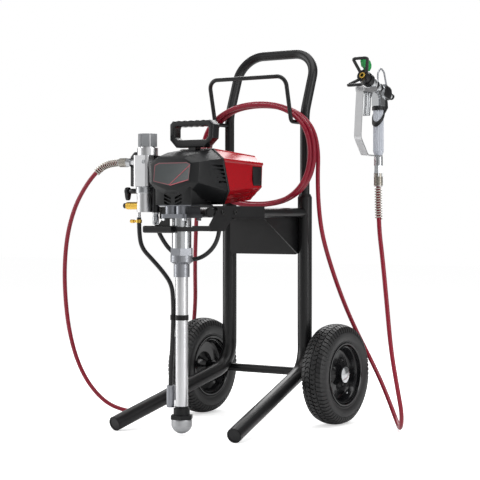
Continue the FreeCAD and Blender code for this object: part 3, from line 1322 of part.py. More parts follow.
strip_points = [
    V(GUN_X, -171.0, 868.0),
    V(GUN_X, -178.0, 806.0),
    V(GUN_X, -184.0, 742.0),
    V(GUN_X, -148.0, GRIP_BOTTOM - 1.5),
    V(GUN_X, GRIP_Y, GRIP_BOTTOM - 1.5),
]
strip_edges = bent_edges(strip_points, [60.0, 16.0, 12.0])
strip_heading = strip_edges[0].tangentAt(0)
strip_side = strip_heading.cross(X)
strip_corners = []
for sx, sn in ((-1, -1), (1, -1), (1, 1), (-1, 1)):
    strip_corners.append(strip_points[0] + X * (sx * GUARD_HALF) + strip_side * (sn * GUARD_GAUGE / 2))
strip_profile = Part.makePolygon(strip_corners + [strip_corners[0]])
strip = Part.Wire(strip_edges).makePipeShell([strip_profile], True, False)
links = []
for x0 in (-12.4, 10.0):
    link = side_plate([
        (TRIGGER_Y - 49, TRIGGER_Z + 4),
        (TRIGGER_Y - 47, TRIGGER_Z - 6),
        (TRIGGER_Y - 1, TRIGGER_Z - 6),
        (TRIGGER_Y + 17, TRIGGER_Z),
        (TRIGGER_Y + 17, TRIGGER_Z + 12),
        (TRIGGER_Y + 2, TRIGGER_Z + 8),
        (TRIGGER_Y - 25, TRIGGER_Z + 2),
    ], GUN_X + x0, GUN_X + x0 + 2.4)
    links.append(link)
strip = fuse(strip, cyl(V(GUN_X, GRIP_Y, GRIP_BOTTOM - 2.7), Z, 10.5, 2.7), links[0], links[1])
pieces["gun_guard"] = strip.cut([cyl(V(GUN_X, GRIP_Y, GRIP_BOTTOM - 5), Z, 6.0, 10.0), gun_body, handle_grip])

# Place the origin at the bottom centre of everything but the hose, and write each piece

CORD_NODES = ["hose_fittings", "hose_springs", "hose_pump_side", "hose_coil", "hose_gun_side"]
whole = FreeCAD.BoundBox()
for name, shape in pieces.items():
    if name not in CORD_NODES:
        whole.add(shape.optimalBoundingBox(False, False))
shift = V(-(whole.XMin + whole.XMax) / 2, -(whole.YMin + whole.YMax) / 2, -whole.ZMin)
print("origin shift", [round(v, 4) for v in shift])
print("size", round(whole.XLength, 1), round(whole.YLength, 1), round(whole.ZLength, 1))

os.makedirs("parts", exist_ok=True)
for name, shape in pieces.items():
    placed = shape.copy()
    placed.translate(shift)
    placed.exportStep("parts/" + name + ".step")
    volume = round(placed.Volume / 1000, 2)
    print(name, "solids", len(placed.Solids), "volume", volume, "valid", placed.isValid())
print("nodes", len(pieces))
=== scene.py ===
# %% [markdown]
# # An airless paint sprayer on its cart
# The sprayer arrives here as a finished set of solids: tubes, covers, wheels, pump and gun, each in its
# real place and size. This lesson dresses them. It gives every surface the finish of the real material,
# and replaces the few parts that a solid can't show well, such as the hose and the tyre treads.

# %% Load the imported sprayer
import json
import math

import bmesh
import bpy
from mathutils import Matrix, Vector


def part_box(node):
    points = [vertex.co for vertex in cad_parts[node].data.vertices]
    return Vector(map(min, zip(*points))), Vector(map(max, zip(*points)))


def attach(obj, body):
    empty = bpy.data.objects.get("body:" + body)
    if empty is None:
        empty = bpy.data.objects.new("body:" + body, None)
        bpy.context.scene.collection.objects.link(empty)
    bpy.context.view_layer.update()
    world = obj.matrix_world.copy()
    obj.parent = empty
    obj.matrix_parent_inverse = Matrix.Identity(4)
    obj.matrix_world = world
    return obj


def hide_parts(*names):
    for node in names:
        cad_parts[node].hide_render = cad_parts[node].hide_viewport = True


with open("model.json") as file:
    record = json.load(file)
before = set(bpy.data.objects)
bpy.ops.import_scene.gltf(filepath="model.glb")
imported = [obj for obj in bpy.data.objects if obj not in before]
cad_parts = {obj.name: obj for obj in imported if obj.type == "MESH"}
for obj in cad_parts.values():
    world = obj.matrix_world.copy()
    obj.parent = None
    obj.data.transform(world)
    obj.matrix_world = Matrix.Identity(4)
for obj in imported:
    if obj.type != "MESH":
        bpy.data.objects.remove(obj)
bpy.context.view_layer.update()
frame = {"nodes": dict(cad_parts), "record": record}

# %% [markdown]
# The sprayer's own drawing is in millimetres about the point on the floor midway between the wheels.
# Two corners of the frame tubes say where that point lies here, so that any place can be given in
# the drawing's numbers.

# %% Places in the drawing's millimetres
TUBE_RADIUS = 19.05
left_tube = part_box("frame_tube_left")
right_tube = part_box("frame_tube_right")
middle_x = (left_tube[1].x + right_tube[0].x) / 2
middle_y = left_tube[1].y - TUBE_RADIUS / 1000


def at(x, y, z):
    """A point of the drawing, in metres in the scene."""
    return Vector((middle_x + x / 1000, middle_y + y / 1000, z / 1000))


print("drawing's middle:", round(middle_x, 4), round(middle_y, 4))

# %% [markdown]
# The camera stands where the photographer stood: a little over half a metre up, four metres away, to the
# right of the sprayer's front, with a long lens. The small shifts slide the picture without turning it.

# %% Camera
CAMERA_PLACE = (2226.6, -3398.5, 545.0)
CAMERA_TURN = math.radians(34.83)
CAMERA_TILT = math.radians(-0.5756)
LENS_LENGTH = 112.3875
PICTURE_SHIFT = (0.0317, -0.0159)
forward = Vector((
    -math.sin(CAMERA_TURN) * math.cos(CAMERA_TILT),
    math.cos(CAMERA_TURN) * math.cos(CAMERA_TILT),
    math.sin(CAMERA_TILT),
))
rightward = Vector((math.cos(CAMERA_TURN), math.sin(CAMERA_TURN), 0))
upward = rightward.cross(forward)
lens = bpy.data.cameras.new("camera")
lens.lens = LENS_LENGTH
lens.sensor_width = 36
lens.shift_x, lens.shift_y = PICTURE_SHIFT
camera = bpy.data.objects.new("camera", lens)
bpy.context.scene.collection.objects.link(camera)
turned = Matrix((rightward, upward, -forward)).transposed()
camera.matrix_world = Matrix.Translation(at(*CAMERA_PLACE)) @ turned.to_4x4()
bpy.context.scene.camera = camera
print("camera stands at", [round(v, 2) for v in camera.matrix_world.translation])

# %% [markdown]
# Every colour is written as the hex value that a screen shows, and one function turns it into the
# linear values that the renderer mixes. A second small function adds a shader node, sets its plain
# values and joins its inputs, so that each material below reads as a short list.

# %% Helpers for colours and nodes


def colour(text):
    """The linear colour of an sRGB hex value."""
    values = [int(text[i:i + 2], 16) / 255 for i in (1, 3, 5)]
    return [v / 12.92 if v <= 0.04045 else ((v + 0.055) / 1.055) ** 2.4 for v in values] + [1.0]


def add(tree, kind, inputs=None, **settings):
    """Add a node; inputs maps a socket's name or number to a value or to another node's output."""
    made = tree.nodes.new(kind)
    for name, value in settings.items():
        setattr(made, name, value)
    for name, value in (inputs or {}).items():
        if isinstance(value, bpy.types.NodeSocket):
            tree.links.new(value, made.inputs[name])
        else:
            made.inputs[name].default_value = value
    return made


def start(name):
    """A new material and its emptied node tree."""
    material = bpy.data.materials.new(name)
    material.use_nodes = True
    material.node_tree.nodes.clear()
    return material, material.node_tree


def finish_with(tree, shader):
    """Join the last shader to the material's output."""
    add(tree, "ShaderNodeOutputMaterial", {"Surface": shader.outputs[0]})


print("node helpers ready")

# %% [markdown]
# ## The finishes
# Each finish starts from the real material and from the way its surface was made. One function builds them
# all: two close colours, a roughness that drifts a little over the piece, and a fine relief on the piece's
# own coordinates. The grain is given in millimetres. Real grains are often too fine to show at this
# distance, and those are drawn coarser, at about one millimetre.

# %% One function for every finish
PATCHES_PER_METRE = 12.0


def shade(name, dark, light, grain_mm, rough, rough_spread, bump_mm, metallic=0.0, **constants):
    """One finish: two close colours in a grain of a real size, its roughness and its relief."""
    material, tree = start(name)
    place = add(tree, "ShaderNodeTexCoord").outputs["Object"]
    fine = add(tree, "ShaderNodeTexNoise", {"Vector": place, "Scale": 1000 / grain_mm, "Detail": 3.0})
    broad = add(tree, "ShaderNodeTexNoise", {"Vector": place, "Scale": PATCHES_PER_METRE, "Detail": 4.0})
    tint = add(tree, "ShaderNodeMix", {0: broad.outputs[0], 6: colour(dark), 7: colour(light)}, data_type="RGBA")
    low = rough - rough_spread
    gloss = add(tree, "ShaderNodeMapRange", {0: broad.outputs[0], 1: 0.3, 2: 0.7, 3: low, 4: rough + rough_spread})
    relief = add(tree, "ShaderNodeBump", {"Height": fine.outputs[0], "Distance": bump_mm / 1000, "Strength": 1.0})
    inputs = {"Base Color": tint.outputs[2], "Roughness": gloss.outputs[0], "Normal": relief.outputs[0]}
    inputs["Metallic"] = metallic
    inputs.update({key.replace("_", " "): value for key, value in constants.items()})
    finish_with(tree, add(tree, "ShaderNodeBsdfPrincipled", inputs))
    return material


print("patches of a finish are about", round(1000 / PATCHES_PER_METRE), "mm across")

# %% [markdown]
# Metals have little colour of their own and mostly show the pale room, so what tells them apart is how
# sharply they show it: a polished cap is a mirror, a casting only a soft glow.

# %% Metal finishes
# Zinc plate on pressed or turned steel: a pale, slightly blurred mirror.
zinc_plate = shade("zinc_plated_steel", "#AEB0B3", "#C4C6C8", 1.2, 0.27, 0.04, 0.004, 1.0)
# The same plate when it has dulled: greyer, with a wider highlight.
dull_zinc = shade("dull_zinc_plate", "#8C8E93", "#A2A4A9", 1.2, 0.34, 0.05, 0.004, 1.0)
# Aluminium as it leaves the mould: a pale grey skin that scatters the light.
cast_aluminium = shade("cast_aluminium", "#A2A5AA", "#B6B9BE", 1.2, 0.4, 0.05, 0.04, 1.0)
# A zinc casting tumbled with stones: darker than aluminium, with a smoother skin.
cast_zinc = shade("tumbled_zinc_casting", "#76787D", "#8C8E94", 1.5, 0.33, 0.05, 0.02, 1.0)
# Drawn aluminium tube and bar: nearly white, with a satin highlight along its length.
drawn_aluminium = shade("drawn_aluminium_tube", "#D2D3D5", "#E0E0E1", 3.0, 0.34, 0.03, 0.001, 1.0)
# Polished steel: the sharpest mirror here, with dark and bright bands.
polished_steel = shade("polished_steel", "#C8CACC", "#D8DADC", 2.0, 0.19, 0.03, 0.001, 1.0)
# Machined steel: dark grey, since its tool marks spread the light.
machined_steel = shade("machined_steel", "#85878A", "#9A9C9F", 0.7, 0.36, 0.06, 0.02, 1.0)
# Spring wire, drawn hard: bright and a little warm.
spring_steel = shade("spring_steel", "#A8A49C", "#C2BEB6", 0.6, 0.26, 0.05, 0.01, 1.0)
# Woven steel mesh: its threads are too fine to show, so a deep 0.9 mm grain stands for them.
woven_steel = shade("woven_steel_mesh", "#A6A7A9", "#C6C7C9", 0.9, 0.5, 0.06, 0.08, 1.0)
# Turned brass: a yellow mirror, softened by the tool's fine rings.
turned_brass = shade("turned_brass", "#DDB04A", "#ECC45E", 0.7, 0.26, 0.04, 0.004, 1.0)
print("metals ready, from", dull_zinc.name, "to", turned_brass.name)

# %% [markdown]
# Paint, plastic and rubber keep their own colour under a colourless gloss. What makes the black ones differ
# is how much of the room they throw back, so several have a weaker gloss than plastic usually has.

# %% Paint, plastic and rubber finishes
# Baked powder coat: deep black and glossy, with the faint orange peel that melted powder leaves.
powder_coat = shade("powder_coated_steel", "#101011", "#161617", 1.6, 0.32, 0.04, 0.015, Specular_IOR_Level=0.38)
# Stoved enamel on the rims: black and nearly a mirror.
rim_enamel = shade("black_rim_enamel", "#121214", "#19191B", 1.5, 0.14, 0.04, 0.01)
# Moulded ABS with a spark-eroded texture: a flat black that greys softly toward the light.
black_abs = shade("black_textured_abs", "#111213", "#17181A", 0.9, 0.4, 0.05, 0.04, Specular_IOR_Level=0.36)
# Moulded ABS from a polished mould: saturated red with sharp highlights.
red_abs = shade("red_gloss_abs", "#A00212", "#AC0616", 1.4, 0.16, 0.03, 0.006)
# Moulded nylon: a dull black.
black_nylon = shade("black_moulded_nylon", "#0E0E10", "#141416", 0.9, 0.4, 0.05, 0.02, Specular_IOR_Level=0.3)
# The gun's hand grip: smooth pale grey.
grey_grip = shade("grey_moulded_grip", "#B8BCC6", "#C4C8D0", 0.9, 0.24, 0.05, 0.01)
# The spray tip's moulding: an even, half-gloss green.
green_polymer = shade("green_polymer", "#1E8A44", "#27994E", 0.9, 0.35, 0.05, 0.02)
# Tyre rubber: a dry, dusty black.
tyre_rubber = shade("moulded_tyre_rubber", "#171718", "#202021", 0.8, 0.47, 0.05, 0.03)
# Extruded rubber tube: black, smoother than the tyre.
black_rubber = shade("smooth_black_rubber", "#121213", "#19191B", 0.8, 0.4, 0.05, 0.01)
# The hose's skin: dark red nylon that follows the braid beneath it.
red_hose_skin = shade("red_braided_hose", "#7C0720", "#920C2A", 1.0, 0.33, 0.05, 0.03, Specular_IOR_Level=0.4)
print("paint, plastics and rubber ready, from", powder_coat.name, "to", red_hose_skin.name)

# %% [markdown]
# Every part of the drawing names a slot, such as black frame or bright steel, and takes that slot's finish.
# Some parts look different from the rest of their slot on the real sprayer, and they are listed by name.

# %% Which part takes which finish
slot_finish = {
    "frame_black": powder_coat,
    "tyre_rubber": tyre_rubber,
    "rim_black": rim_enamel,
    "zinc_steel": zinc_plate,
    "cast_silver": cast_aluminium,
    "chrome_steel": polished_steel,
    "steel_dark": machined_steel,
    "motor_steel": machined_steel,
    "plastic_black": black_abs,
    "plastic_red": red_abs,
    "plastic_grey": grey_grip,
    "plastic_green": green_polymer,
    "brass": turned_brass,
    "hose_black": black_rubber,
    "hose_red": red_hose_skin,
    "spring_steel": spring_steel,
}
own_finish = {
    "wheel_left_cap": polished_steel,
    "wheel_right_cap": polished_steel,
    "tube_clip": black_nylon,
    "frame_screws": powder_coat,
    "gearbox_casting": cast_zinc,
    "siphon_tube": drawn_aluminium,
    "filter_block": drawn_aluminium,
    "filter_bowl": drawn_aluminium,
    "gun_guard": drawn_aluminium,
    "foot_valve": dull_zinc,
    "siphon_sleeve": dull_zinc,
    "return_end": dull_zinc,
    "gun_hook": dull_zinc,
    "strainer_dome": woven_steel,
    "strainer_collar": black_nylon,
}
for part in frame["record"]["subparts"]:
    name = part["node"]
    part_finish = own_finish.get(name) or slot_finish[part["material_slot"]]
    node = frame["nodes"][name]
    node.data.materials.clear()
    node.data.materials.append(part_finish)
print("parts with their own finish:", len(own_finish), "of", len(frame["nodes"]))

# %% [markdown]
# ## The hose
# A paint hose is a fixed length of braided tube. It leaves the filter through a spring guard, falls to the
# floor, rises behind the left wheel, hangs in a loose coil on the rack's two hooks, and drops to the floor
# again before it climbs to the gun. It is one smooth spline from end to end, so its length is real. The two
# free runs are listed point by point.

# %% The hose's two free runs
HOSE_RADIUS = 5.75
pump_route = [
    (-192.5, -393.5, 685), (-233, -393.5, 685), (-274, -394, 660), (-317, -388, 620), (-362, -374, 570),
    (-404, -354, 500), (-437, -328, 415), (-461, -297, 325), (-478, -262, 235), (-481, -226, 150),
    (-468, -190, 80), (-434, -158, 28), (-386, -136, 7), (-331, -128, 6), (-290, -94, 22),
    (-272, -48, 66), (-267, -8, 130), (-267, 24, 205), (-268, 42, 300), (-250, 14, 400),
    (-220, -24, 490), (-198, -48, 575), (-174, -60, 640),
]
gun_route = [
    (171.5, -17, 650), (179, -24, 570), (187, -18, 495), (190, 24, 410), (184, 95, 320), (192, 148, 240),
    (228, 160, 168), (288, 118, 108), (346, 60, 60), (394, 12, 16), (430, -38, 7), (458, -82, 52),
    (449, -92, 122), (429, -88, 215), (415, -84, 330), (401, -80, 440), (388, -79, 530), (388, -79, 622.7),
]
print("points to the coil:", len(pump_route), "and from it to the gun:", len(gun_route))

# %% [markdown]
# The coil is worked out instead. Its turns differ in size, as loose turns do, so the tops, bottoms, lefts and
# rights are listed turn by turn and eased from one to the next. Each turn is a rounded shape between a circle
# and a rectangle, which is how a coil sags over two hooks. A spline cuts the corners of its points, and
# SPLINE_PULL moves them outwards by as much.

# %% The hose's coil
COIL_TURNS = 3.5
COIL_POINTS = 16
COIL_MIDDLE = (-2, 716)
COIL_FRONT = -60.4
COIL_PITCH = 12.2
COIL_TOPS = [128.5, 134, 127.2, 131]
COIL_BOTTOMS = [139, 134, 137]
COIL_LEFTS = [168, 172, 166, 170]
COIL_RIGHTS = [172, 176.5, 171, 173.5]
COIL_ROUNDNESS = 0.877
SPLINE_PULL = 1 / math.cos(math.pi / COIL_POINTS)


def eased(values, lap, phase):
    """A turn's own size at its quarter, sliding to the next turn's one turn later."""
    share = min(max(lap - phase, 0), len(values) - 1)
    low = min(int(share), len(values) - 2)
    return values[low] + (values[low + 1] - values[low]) * (share - low)


coil_route = []
for i in range(int(COIL_TURNS * COIL_POINTS) + 1):
    lap = i / COIL_POINTS
    angle = 2 * math.pi * lap
    across, height = -math.cos(angle), math.sin(angle)
    side = eased(COIL_RIGHTS, lap, 0.5) if across > 0 else eased(COIL_LEFTS, lap, 0)
    rise = eased(COIL_TOPS, lap, 0.25) if height > 0 else eased(COIL_BOTTOMS, lap, 0.75)
    coil_route.append((
        COIL_MIDDLE[0] + SPLINE_PULL * side * math.copysign(abs(across) ** COIL_ROUNDNESS, across),
        COIL_FRONT + COIL_PITCH * lap,
        COIL_MIDDLE[1] + SPLINE_PULL * rise * math.copysign(abs(height) ** COIL_ROUNDNESS, height),
    ))
print("points in the coil:", len(coil_route))

# %% [markdown]
# A NURBS spline of order three passes close to its points without going through them, which is how a stiff
# hose lies. The order is set after the points, because Blender would lower it on an empty spline. The curve
# is turned into a mesh twice: bare, for the line that gives the length, and with a bevel, for the tube that
# is kept.

# %% A tube along a route


def tube(name, route, radius, finish):
    """A round tube along a route of drawing points: the mesh object, and the points of its centre line."""
    curve = bpy.data.curves.new(name, "CURVE")
    curve.dimensions = "3D"
    line = curve.splines.new("NURBS")
    line.points.add(len(route) - 1)
    for point, place in zip(line.points, route):
        point.co = (*at(*place), 1.0)
    line.order_u = 3
    line.use_endpoint_u = True
    line.resolution_u = 6
    curve.bevel_resolution = 3
    curve.use_fill_caps = True
    drawn = bpy.data.objects.new(name, curve)
    bare = bpy.data.meshes.new_from_object(drawn)
    points = [v.co.copy() for v in bare.vertices]
    bpy.data.meshes.remove(bare)
    curve.bevel_depth = radius / 1000
    skin_mesh = bpy.data.meshes.new_from_object(drawn)
    bpy.data.objects.remove(drawn)
    skin_mesh.name = name
    skin_mesh.materials.append(finish)
    made = bpy.data.objects.new(name, skin_mesh)
    bpy.context.scene.collection.objects.link(made)
    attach(made, "cart")
    return made, points


def length_of(points):
    """The length of a line of points."""
    return sum((b - a).length for a, b in zip(points, points[1:]))


hose, hose_line = tube("red_hose", pump_route + coil_route + gun_route, HOSE_RADIUS, red_hose_skin)
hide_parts("hose_pump_side", "hose_coil", "hose_gun_side")

# %% [markdown]
# The thin black return tube brings unsprayed paint back to the pail. It hangs from a barb under the filter,
# leans over to the siphon tube and runs down behind it to a metal end. The black transfer hose loops behind
# the pump's cylinder.

# %% Return tube and transfer hose
RETURN_RADIUS = 5.6
TRANSFER_RADIUS = 5.5
return_route = [
    (-125.3, -399.4, 544.5), (-125.3, -399.4, 499), (-115.5, -398.5, 465), (-86, -397.5, 440), (-51, -396, 408),
    (-25, -394.5, 376), (-21.46, -393.42, 335), (-21.46, -393.42, 285), (-25.7, -391.7, 225),
    (-33.65, -388.51, 165), (-33.65, -388.51, 104),
]
transfer_route = [
    (-82.5, -385.5, 554), (-82.5, -385.5, 526), (-73, -374, 492), (-57, -358, 460), (-26, -344, 440),
    (10, -342, 438), (46, -345, 451), (75, -347, 476), (88, -347, 511), (84, -347, 545), (84, -347, 569.7),
]
return_tube, return_line = tube("return_tube_smooth", return_route, RETURN_RADIUS, black_rubber)
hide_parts("return_tube")
transfer_hose, transfer_line = tube("transfer_hose_smooth", transfer_route, TRANSFER_RADIUS, black_rubber)
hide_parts("transfer_hose")
print("return tube:", round(length_of(return_line), 3), "m")
print("transfer hose:", round(length_of(transfer_line), 3), "m")

# %% [markdown]
# ## Spring guards
# Where the hose leaves a fitting, an open coil of bright wire keeps it from kinking. The wire is a helix
# round the hose's own line, so it bends with the hose. First comes a way to walk along that line.

# %% A helix round the hose's line
SPRING_WIRE = 1.7
SPRING_RADIUS = 8.2
SPRING_START = 4.0
SPRING_LENGTH = 78.0
SPRING_TURNS = 12
TURN_POINTS = 12


def walk(points, distance):
    """The place and heading at a distance along a line of points."""
    for a, b in zip(points, points[1:]):
        step = (b - a).length
        if distance <= step:
            return a.lerp(b, distance / step), (b - a).normalized()
        distance -= step
    return points[-1].copy(), (points[-1] - points[-2]).normalized()


def helix_round(points):
    """The points of a guard's wire: a helix round the start of a line."""
    made = []
    for i in range(SPRING_TURNS * TURN_POINTS + 1):
        share = i / (SPRING_TURNS * TURN_POINTS)
        place, heading = walk(points, (SPRING_START + SPRING_LENGTH * share) / 1000)
        first = heading.cross(Vector((0.1, 1, 0.2))).normalized()
        second = heading.cross(first)
        angle = 2 * math.pi * i / TURN_POINTS
        made.append(place + (first * math.cos(angle) + second * math.sin(angle)) * (SPRING_RADIUS / 1000))
    return made


print("the first guard's wire has", len(helix_round(hose_line)), "points")

# %% [markdown]
# A curve with a bevel makes each helix a round wire. Both guards are strands of one curve, which is read as
# one mesh, and the second guard starts from the hose's other end.

# %% Spring guards
guard_curve = bpy.data.curves.new("spring_wire", "CURVE")
guard_curve.dimensions = "3D"
guard_curve.bevel_depth = SPRING_WIRE / 1000
guard_curve.bevel_resolution = 2
guard_curve.use_fill_caps = True
for line in (hose_line, hose_line[::-1]):
    points = helix_round(line)
    strand = guard_curve.splines.new("NURBS")
    strand.points.add(len(points) - 1)
    for point, place in zip(strand.points, points):
        point.co = (*place, 1.0)
    strand.order_u = 3
    strand.use_endpoint_u = True
    strand.resolution_u = 2
strands = bpy.data.objects.new("spring_strands", guard_curve)
guards = bpy.data.objects.new("spring_guards", bpy.data.meshes.new_from_object(strands))
bpy.context.scene.collection.objects.link(guards)
bpy.data.objects.remove(strands)
guards.data.materials.clear()
guards.data.materials.append(spring_steel)
for face in guards.data.polygons:
    face.use_smooth = True
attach(guards, "cart")
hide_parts("hose_springs")
print("spring guards:", len(guards.data.polygons), "faces")

# %% [markdown]
# The hose runs from the swivel nut at the filter to the one under the gun.
# Its fittings and spring guards go with it.

print("hose and spring guards built")

# %% [markdown]
# ## Tools for the modelled pieces
# The rest is modelled in the drawing's millimetres, in bmesh, and placed in the scene at the end. Few
# shapes are needed: an outline pushed into a plate, an outline spun into a turned part, a skin stretched over
# a row of sections, and a cut. Moulded and cast parts have no knife edges, so most get a small bevel.

# %% Modelling helpers
TO_SCENE = Matrix.Translation(at(0, 0, 0)) @ Matrix.Scale(0.001, 4)


def new_points(pushed):
    """The new corners that an extrusion made."""
    return [item for item in pushed["geom"] if isinstance(item, bmesh.types.BMVert)]


def plate(made, outline, sweep):
    """A flat outline pushed along sweep."""
    corners = [made.verts.new(point) for point in outline]
    pushed = bmesh.ops.extrude_face_region(made, geom=[made.faces.new(corners)])
    bmesh.ops.translate(made, vec=Vector(sweep), verts=new_points(pushed))


def turn(made, profile, base, axis, steps=40, closed=False):
    """A turned part: an outline of (distance along the axis, radius) spun round the axis."""
    axis = Vector(axis).normalized()
    side = axis.orthogonal().normalized()
    points = [made.verts.new(Vector(base) + axis * u + side * r) for u, r in profile]
    edges = [made.edges.new(pair) for pair in zip(points, points[1:])]
    if closed:
        edges.append(made.edges.new((points[-1], points[0])))
    bmesh.ops.spin(
        made, geom=points + edges, cent=Vector(base), axis=axis, angle=2 * math.pi, steps=steps, use_merge=True,
        dvec=(0, 0, 0),
    )


def skin(made, sections):
    """A closed skin over a row of outlines with the same number of points."""
    loops = []
    for section in sections:
        ring = [made.verts.new(point) for point in section]
        loops.append([made.edges.new((ring[i - 1], ring[i])) for i in range(len(ring))])
        if section is sections[0] or section is sections[-1]:
            made.faces.new(ring)
    for first, second in zip(loops, loops[1:]):
        bmesh.ops.bridge_loops(made, edges=first + second)


def soften(made, width, angle=14, segments=2, chosen=None):
    """Round every edge where the surface turns by more than the angle, or only the chosen ones."""
    bmesh.ops.recalc_face_normals(made, faces=made.faces)
    sharp = [edge for edge in made.edges if edge.is_manifold and edge.calc_face_angle(0) > math.radians(angle)]
    if chosen:
        sharp = [edge for edge in sharp if chosen(edge)]
    bmesh.ops.bevel(
        made, geom=sharp, offset=width, offset_type="OFFSET", affect="EDGES", segments=segments, profile=0.5,
        material=-1, clamp_overlap=True,
    )


def cut_out(shape, cutter):
    """The first bmesh with the second cut out of it."""
    pair = []
    for made in (shape, cutter):
        bmesh.ops.recalc_face_normals(made, faces=made.faces)
        mesh = bpy.data.meshes.new("cutting")
        made.to_mesh(mesh)
        made.free()
        pair.append(bpy.data.objects.new("cutting", mesh))
        bpy.context.scene.collection.objects.link(pair[-1])
    cut = pair[0].modifiers.new("cut", "BOOLEAN")
    cut.operation = "DIFFERENCE"
    cut.solver = "EXACT"
    cut.object = pair[1]
    bpy.context.view_layer.update()
    seen = pair[0].evaluated_get(bpy.context.evaluated_depsgraph_get())
    result = bmesh.new()
    result.from_mesh(seen.to_mesh())
    seen.to_mesh_clear()
    for part in pair:
        bpy.data.objects.remove(part)
    return result


def join(made, other):
    """Add a second bmesh to a piece."""
    mesh = bpy.data.meshes.new("joined")
    other.to_mesh(mesh)
    other.free()
    made.from_mesh(mesh)
    bpy.data.meshes.remove(mesh)


def keep(name, made, body, finishes, stands_for=(), crease=32):
    """Finish a piece drawn in millimetres: merge its doubles, turn its faces outwards, place it and let it ride."""
    bmesh.ops.remove_doubles(made, verts=made.verts, dist=0.01)
    bmesh.ops.recalc_face_normals(made, faces=made.faces)
    bmesh.ops.transform(made, matrix=TO_SCENE, verts=made.verts)
    mesh = bpy.data.meshes.new(name)
    made.to_mesh(mesh)
    made.free()
    mesh.shade_smooth()
    mesh.set_sharp_from_angle(angle=math.radians(crease))
    for finish in finishes:
        mesh.materials.append(finish)
    whole = bpy.data.objects.new(name, mesh)
    bpy.context.scene.collection.objects.link(whole)
    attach(whole, body)
    if stands_for:
        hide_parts(*stands_for)
    print(name, len(mesh.polygons), "faces")


print("modelling helpers ready")

# %% [markdown]
# ## The tyres
# Each tyre is a moulded casing with four rows of tread blocks: two rows of small chevrons on the crown and
# a row of slanted bars at each shoulder, which run a little way down the side. A texture would leave the
# tyre's outline smooth, so each block is real. It starts as a small grid that is laid on the crown and
# raised.

# %% One tread block
WHEEL_RADIUS = 132.3
WHEEL_X = 215.0
AXLE = (0.0, 4.5, 132.3)
CROWN_BEND = 68.33
TREAD_DEPTH = 3.1
LUGS = 66
LUG_LENGTH = 9.0


def crown(across):
    """The tyre's radius at a place across its tread."""
    return WHEEL_RADIUS - CROWN_BEND + math.sqrt(CROWN_BEND ** 2 - across ** 2)


def foot(across):
    """The radius of a block's foot, sunk a little into the casing."""
    return crown(across) - TREAD_DEPTH - 0.6


def lug(made, stations):
    """One tread block on the tyre: stations are (across, radius, lag, out across, out radius)."""
    cells = len(stations) - 1
    grid = bmesh.ops.create_grid(made, x_segments=cells, y_segments=1, size=0.5)["verts"]
    pushes = {}
    for vert in grid:
        across, radius, lag, out, rise = stations[round((vert.co.x + 0.5) * cells)]
        angle = (lag + vert.co.y * LUG_LENGTH) / WHEEL_RADIUS
        vert.co = (across, radius * math.sin(angle), radius * math.cos(angle))
        pushes[tuple(vert.co)] = Vector((out, rise * math.sin(angle), rise * math.cos(angle)))
    faces = list({face for vert in grid for face in vert.link_faces})
    for vert in new_points(bmesh.ops.extrude_face_region(made, geom=faces)):
        vert.co += pushes[tuple(vert.co)]


print("blocks in a row:", LUGS, "each", LUG_LENGTH, "mm long")

# %% [markdown]
# The casing is one closed outline spun round the axle, from the crown over the shoulder, down the side and
# back along the inside. One block of each row is made and then copied round the wheel by a spin that
# duplicates. Across the tyre, one half is the other with its signs turned round.

# %% Casing and tread
casing_half = [(0, crown(0) - TREAD_DEPTH)] + [(x, crown(x) - TREAD_DEPTH) for x in (7, 14, 20, 26)]
casing_half += [(29.6, 119.6), (31.6, 114.6), (33.0, 111.4), (33.9, 110.6), (34.4, 107.0), (34.3, 102.0)]
casing_half += [(33.4, 96.0), (31.9, 91.0), (30.6, 88.6), (31.0, 87.4), (30.7, 85.6), (29.4, 84.0), (28.5, 83.0)]
casing_half += [(28.5, 74.3), (21.0, 74.3), (21.0, 80.0)]
casing_outline = casing_half + [(-x, r) for x, r in reversed(casing_half[1:])]
RISE = TREAD_DEPTH + 0.5
for side, word in ((-1, "left"), (1, "right")):
    tyre = bmesh.new()
    for hand in (-1, 1):
        chevron = [(x * hand, foot(x), lag * hand, 0, RISE) for x, lag in ((1.4, 0.0), (8.0, -4.2), (14.6, 0.0))]
        bar = [
            (16.6 * hand, foot(16.6), 5.0, 0, RISE),
            (27.0 * hand, foot(27.0), 1.5, 0.6 * hand, RISE - 0.6),
            (30.2 * hand, 117.6, -0.5, 1.9 * hand, 1.2),
            (32.4 * hand, 112.0, -1.5, 1.2 * hand, 0.4),
        ]
        for stations in (chevron, bar):
            lug(tyre, stations if hand > 0 else stations[::-1])
    sector = tyre.verts[:] + tyre.edges[:] + tyre.faces[:]
    bmesh.ops.spin(
        tyre, geom=sector, cent=(0, 0, 0), axis=(1, 0, 0), angle=2 * math.pi * (LUGS - 1) / LUGS, steps=LUGS - 1,
        use_duplicate=True, dvec=(0, 0, 0),
    )
    turn(tyre, casing_outline, (0, 0, 0), (1, 0, 0), steps=96, closed=True)
    bmesh.ops.translate(tyre, vec=Vector(AXLE) + Vector((side * WHEEL_X, 0, 0)), verts=tyre.verts)
    keep("tyre_tread_" + word, tyre, "wheel_" + word, [tyre_rubber], ("wheel_" + word + "_tyre",), 28)

# %% [markdown]
# ## The rims
# Each rim is a deep pressed dish in glossy black enamel, with a rolled lip that holds the tyre and a hub tube
# in the middle. It is one closed outline of (distance along the axle, radius), spun round the axle. Four
# round-headed bolts and the tyre's valve sit in the dish, each turned in the same way round its own centre.

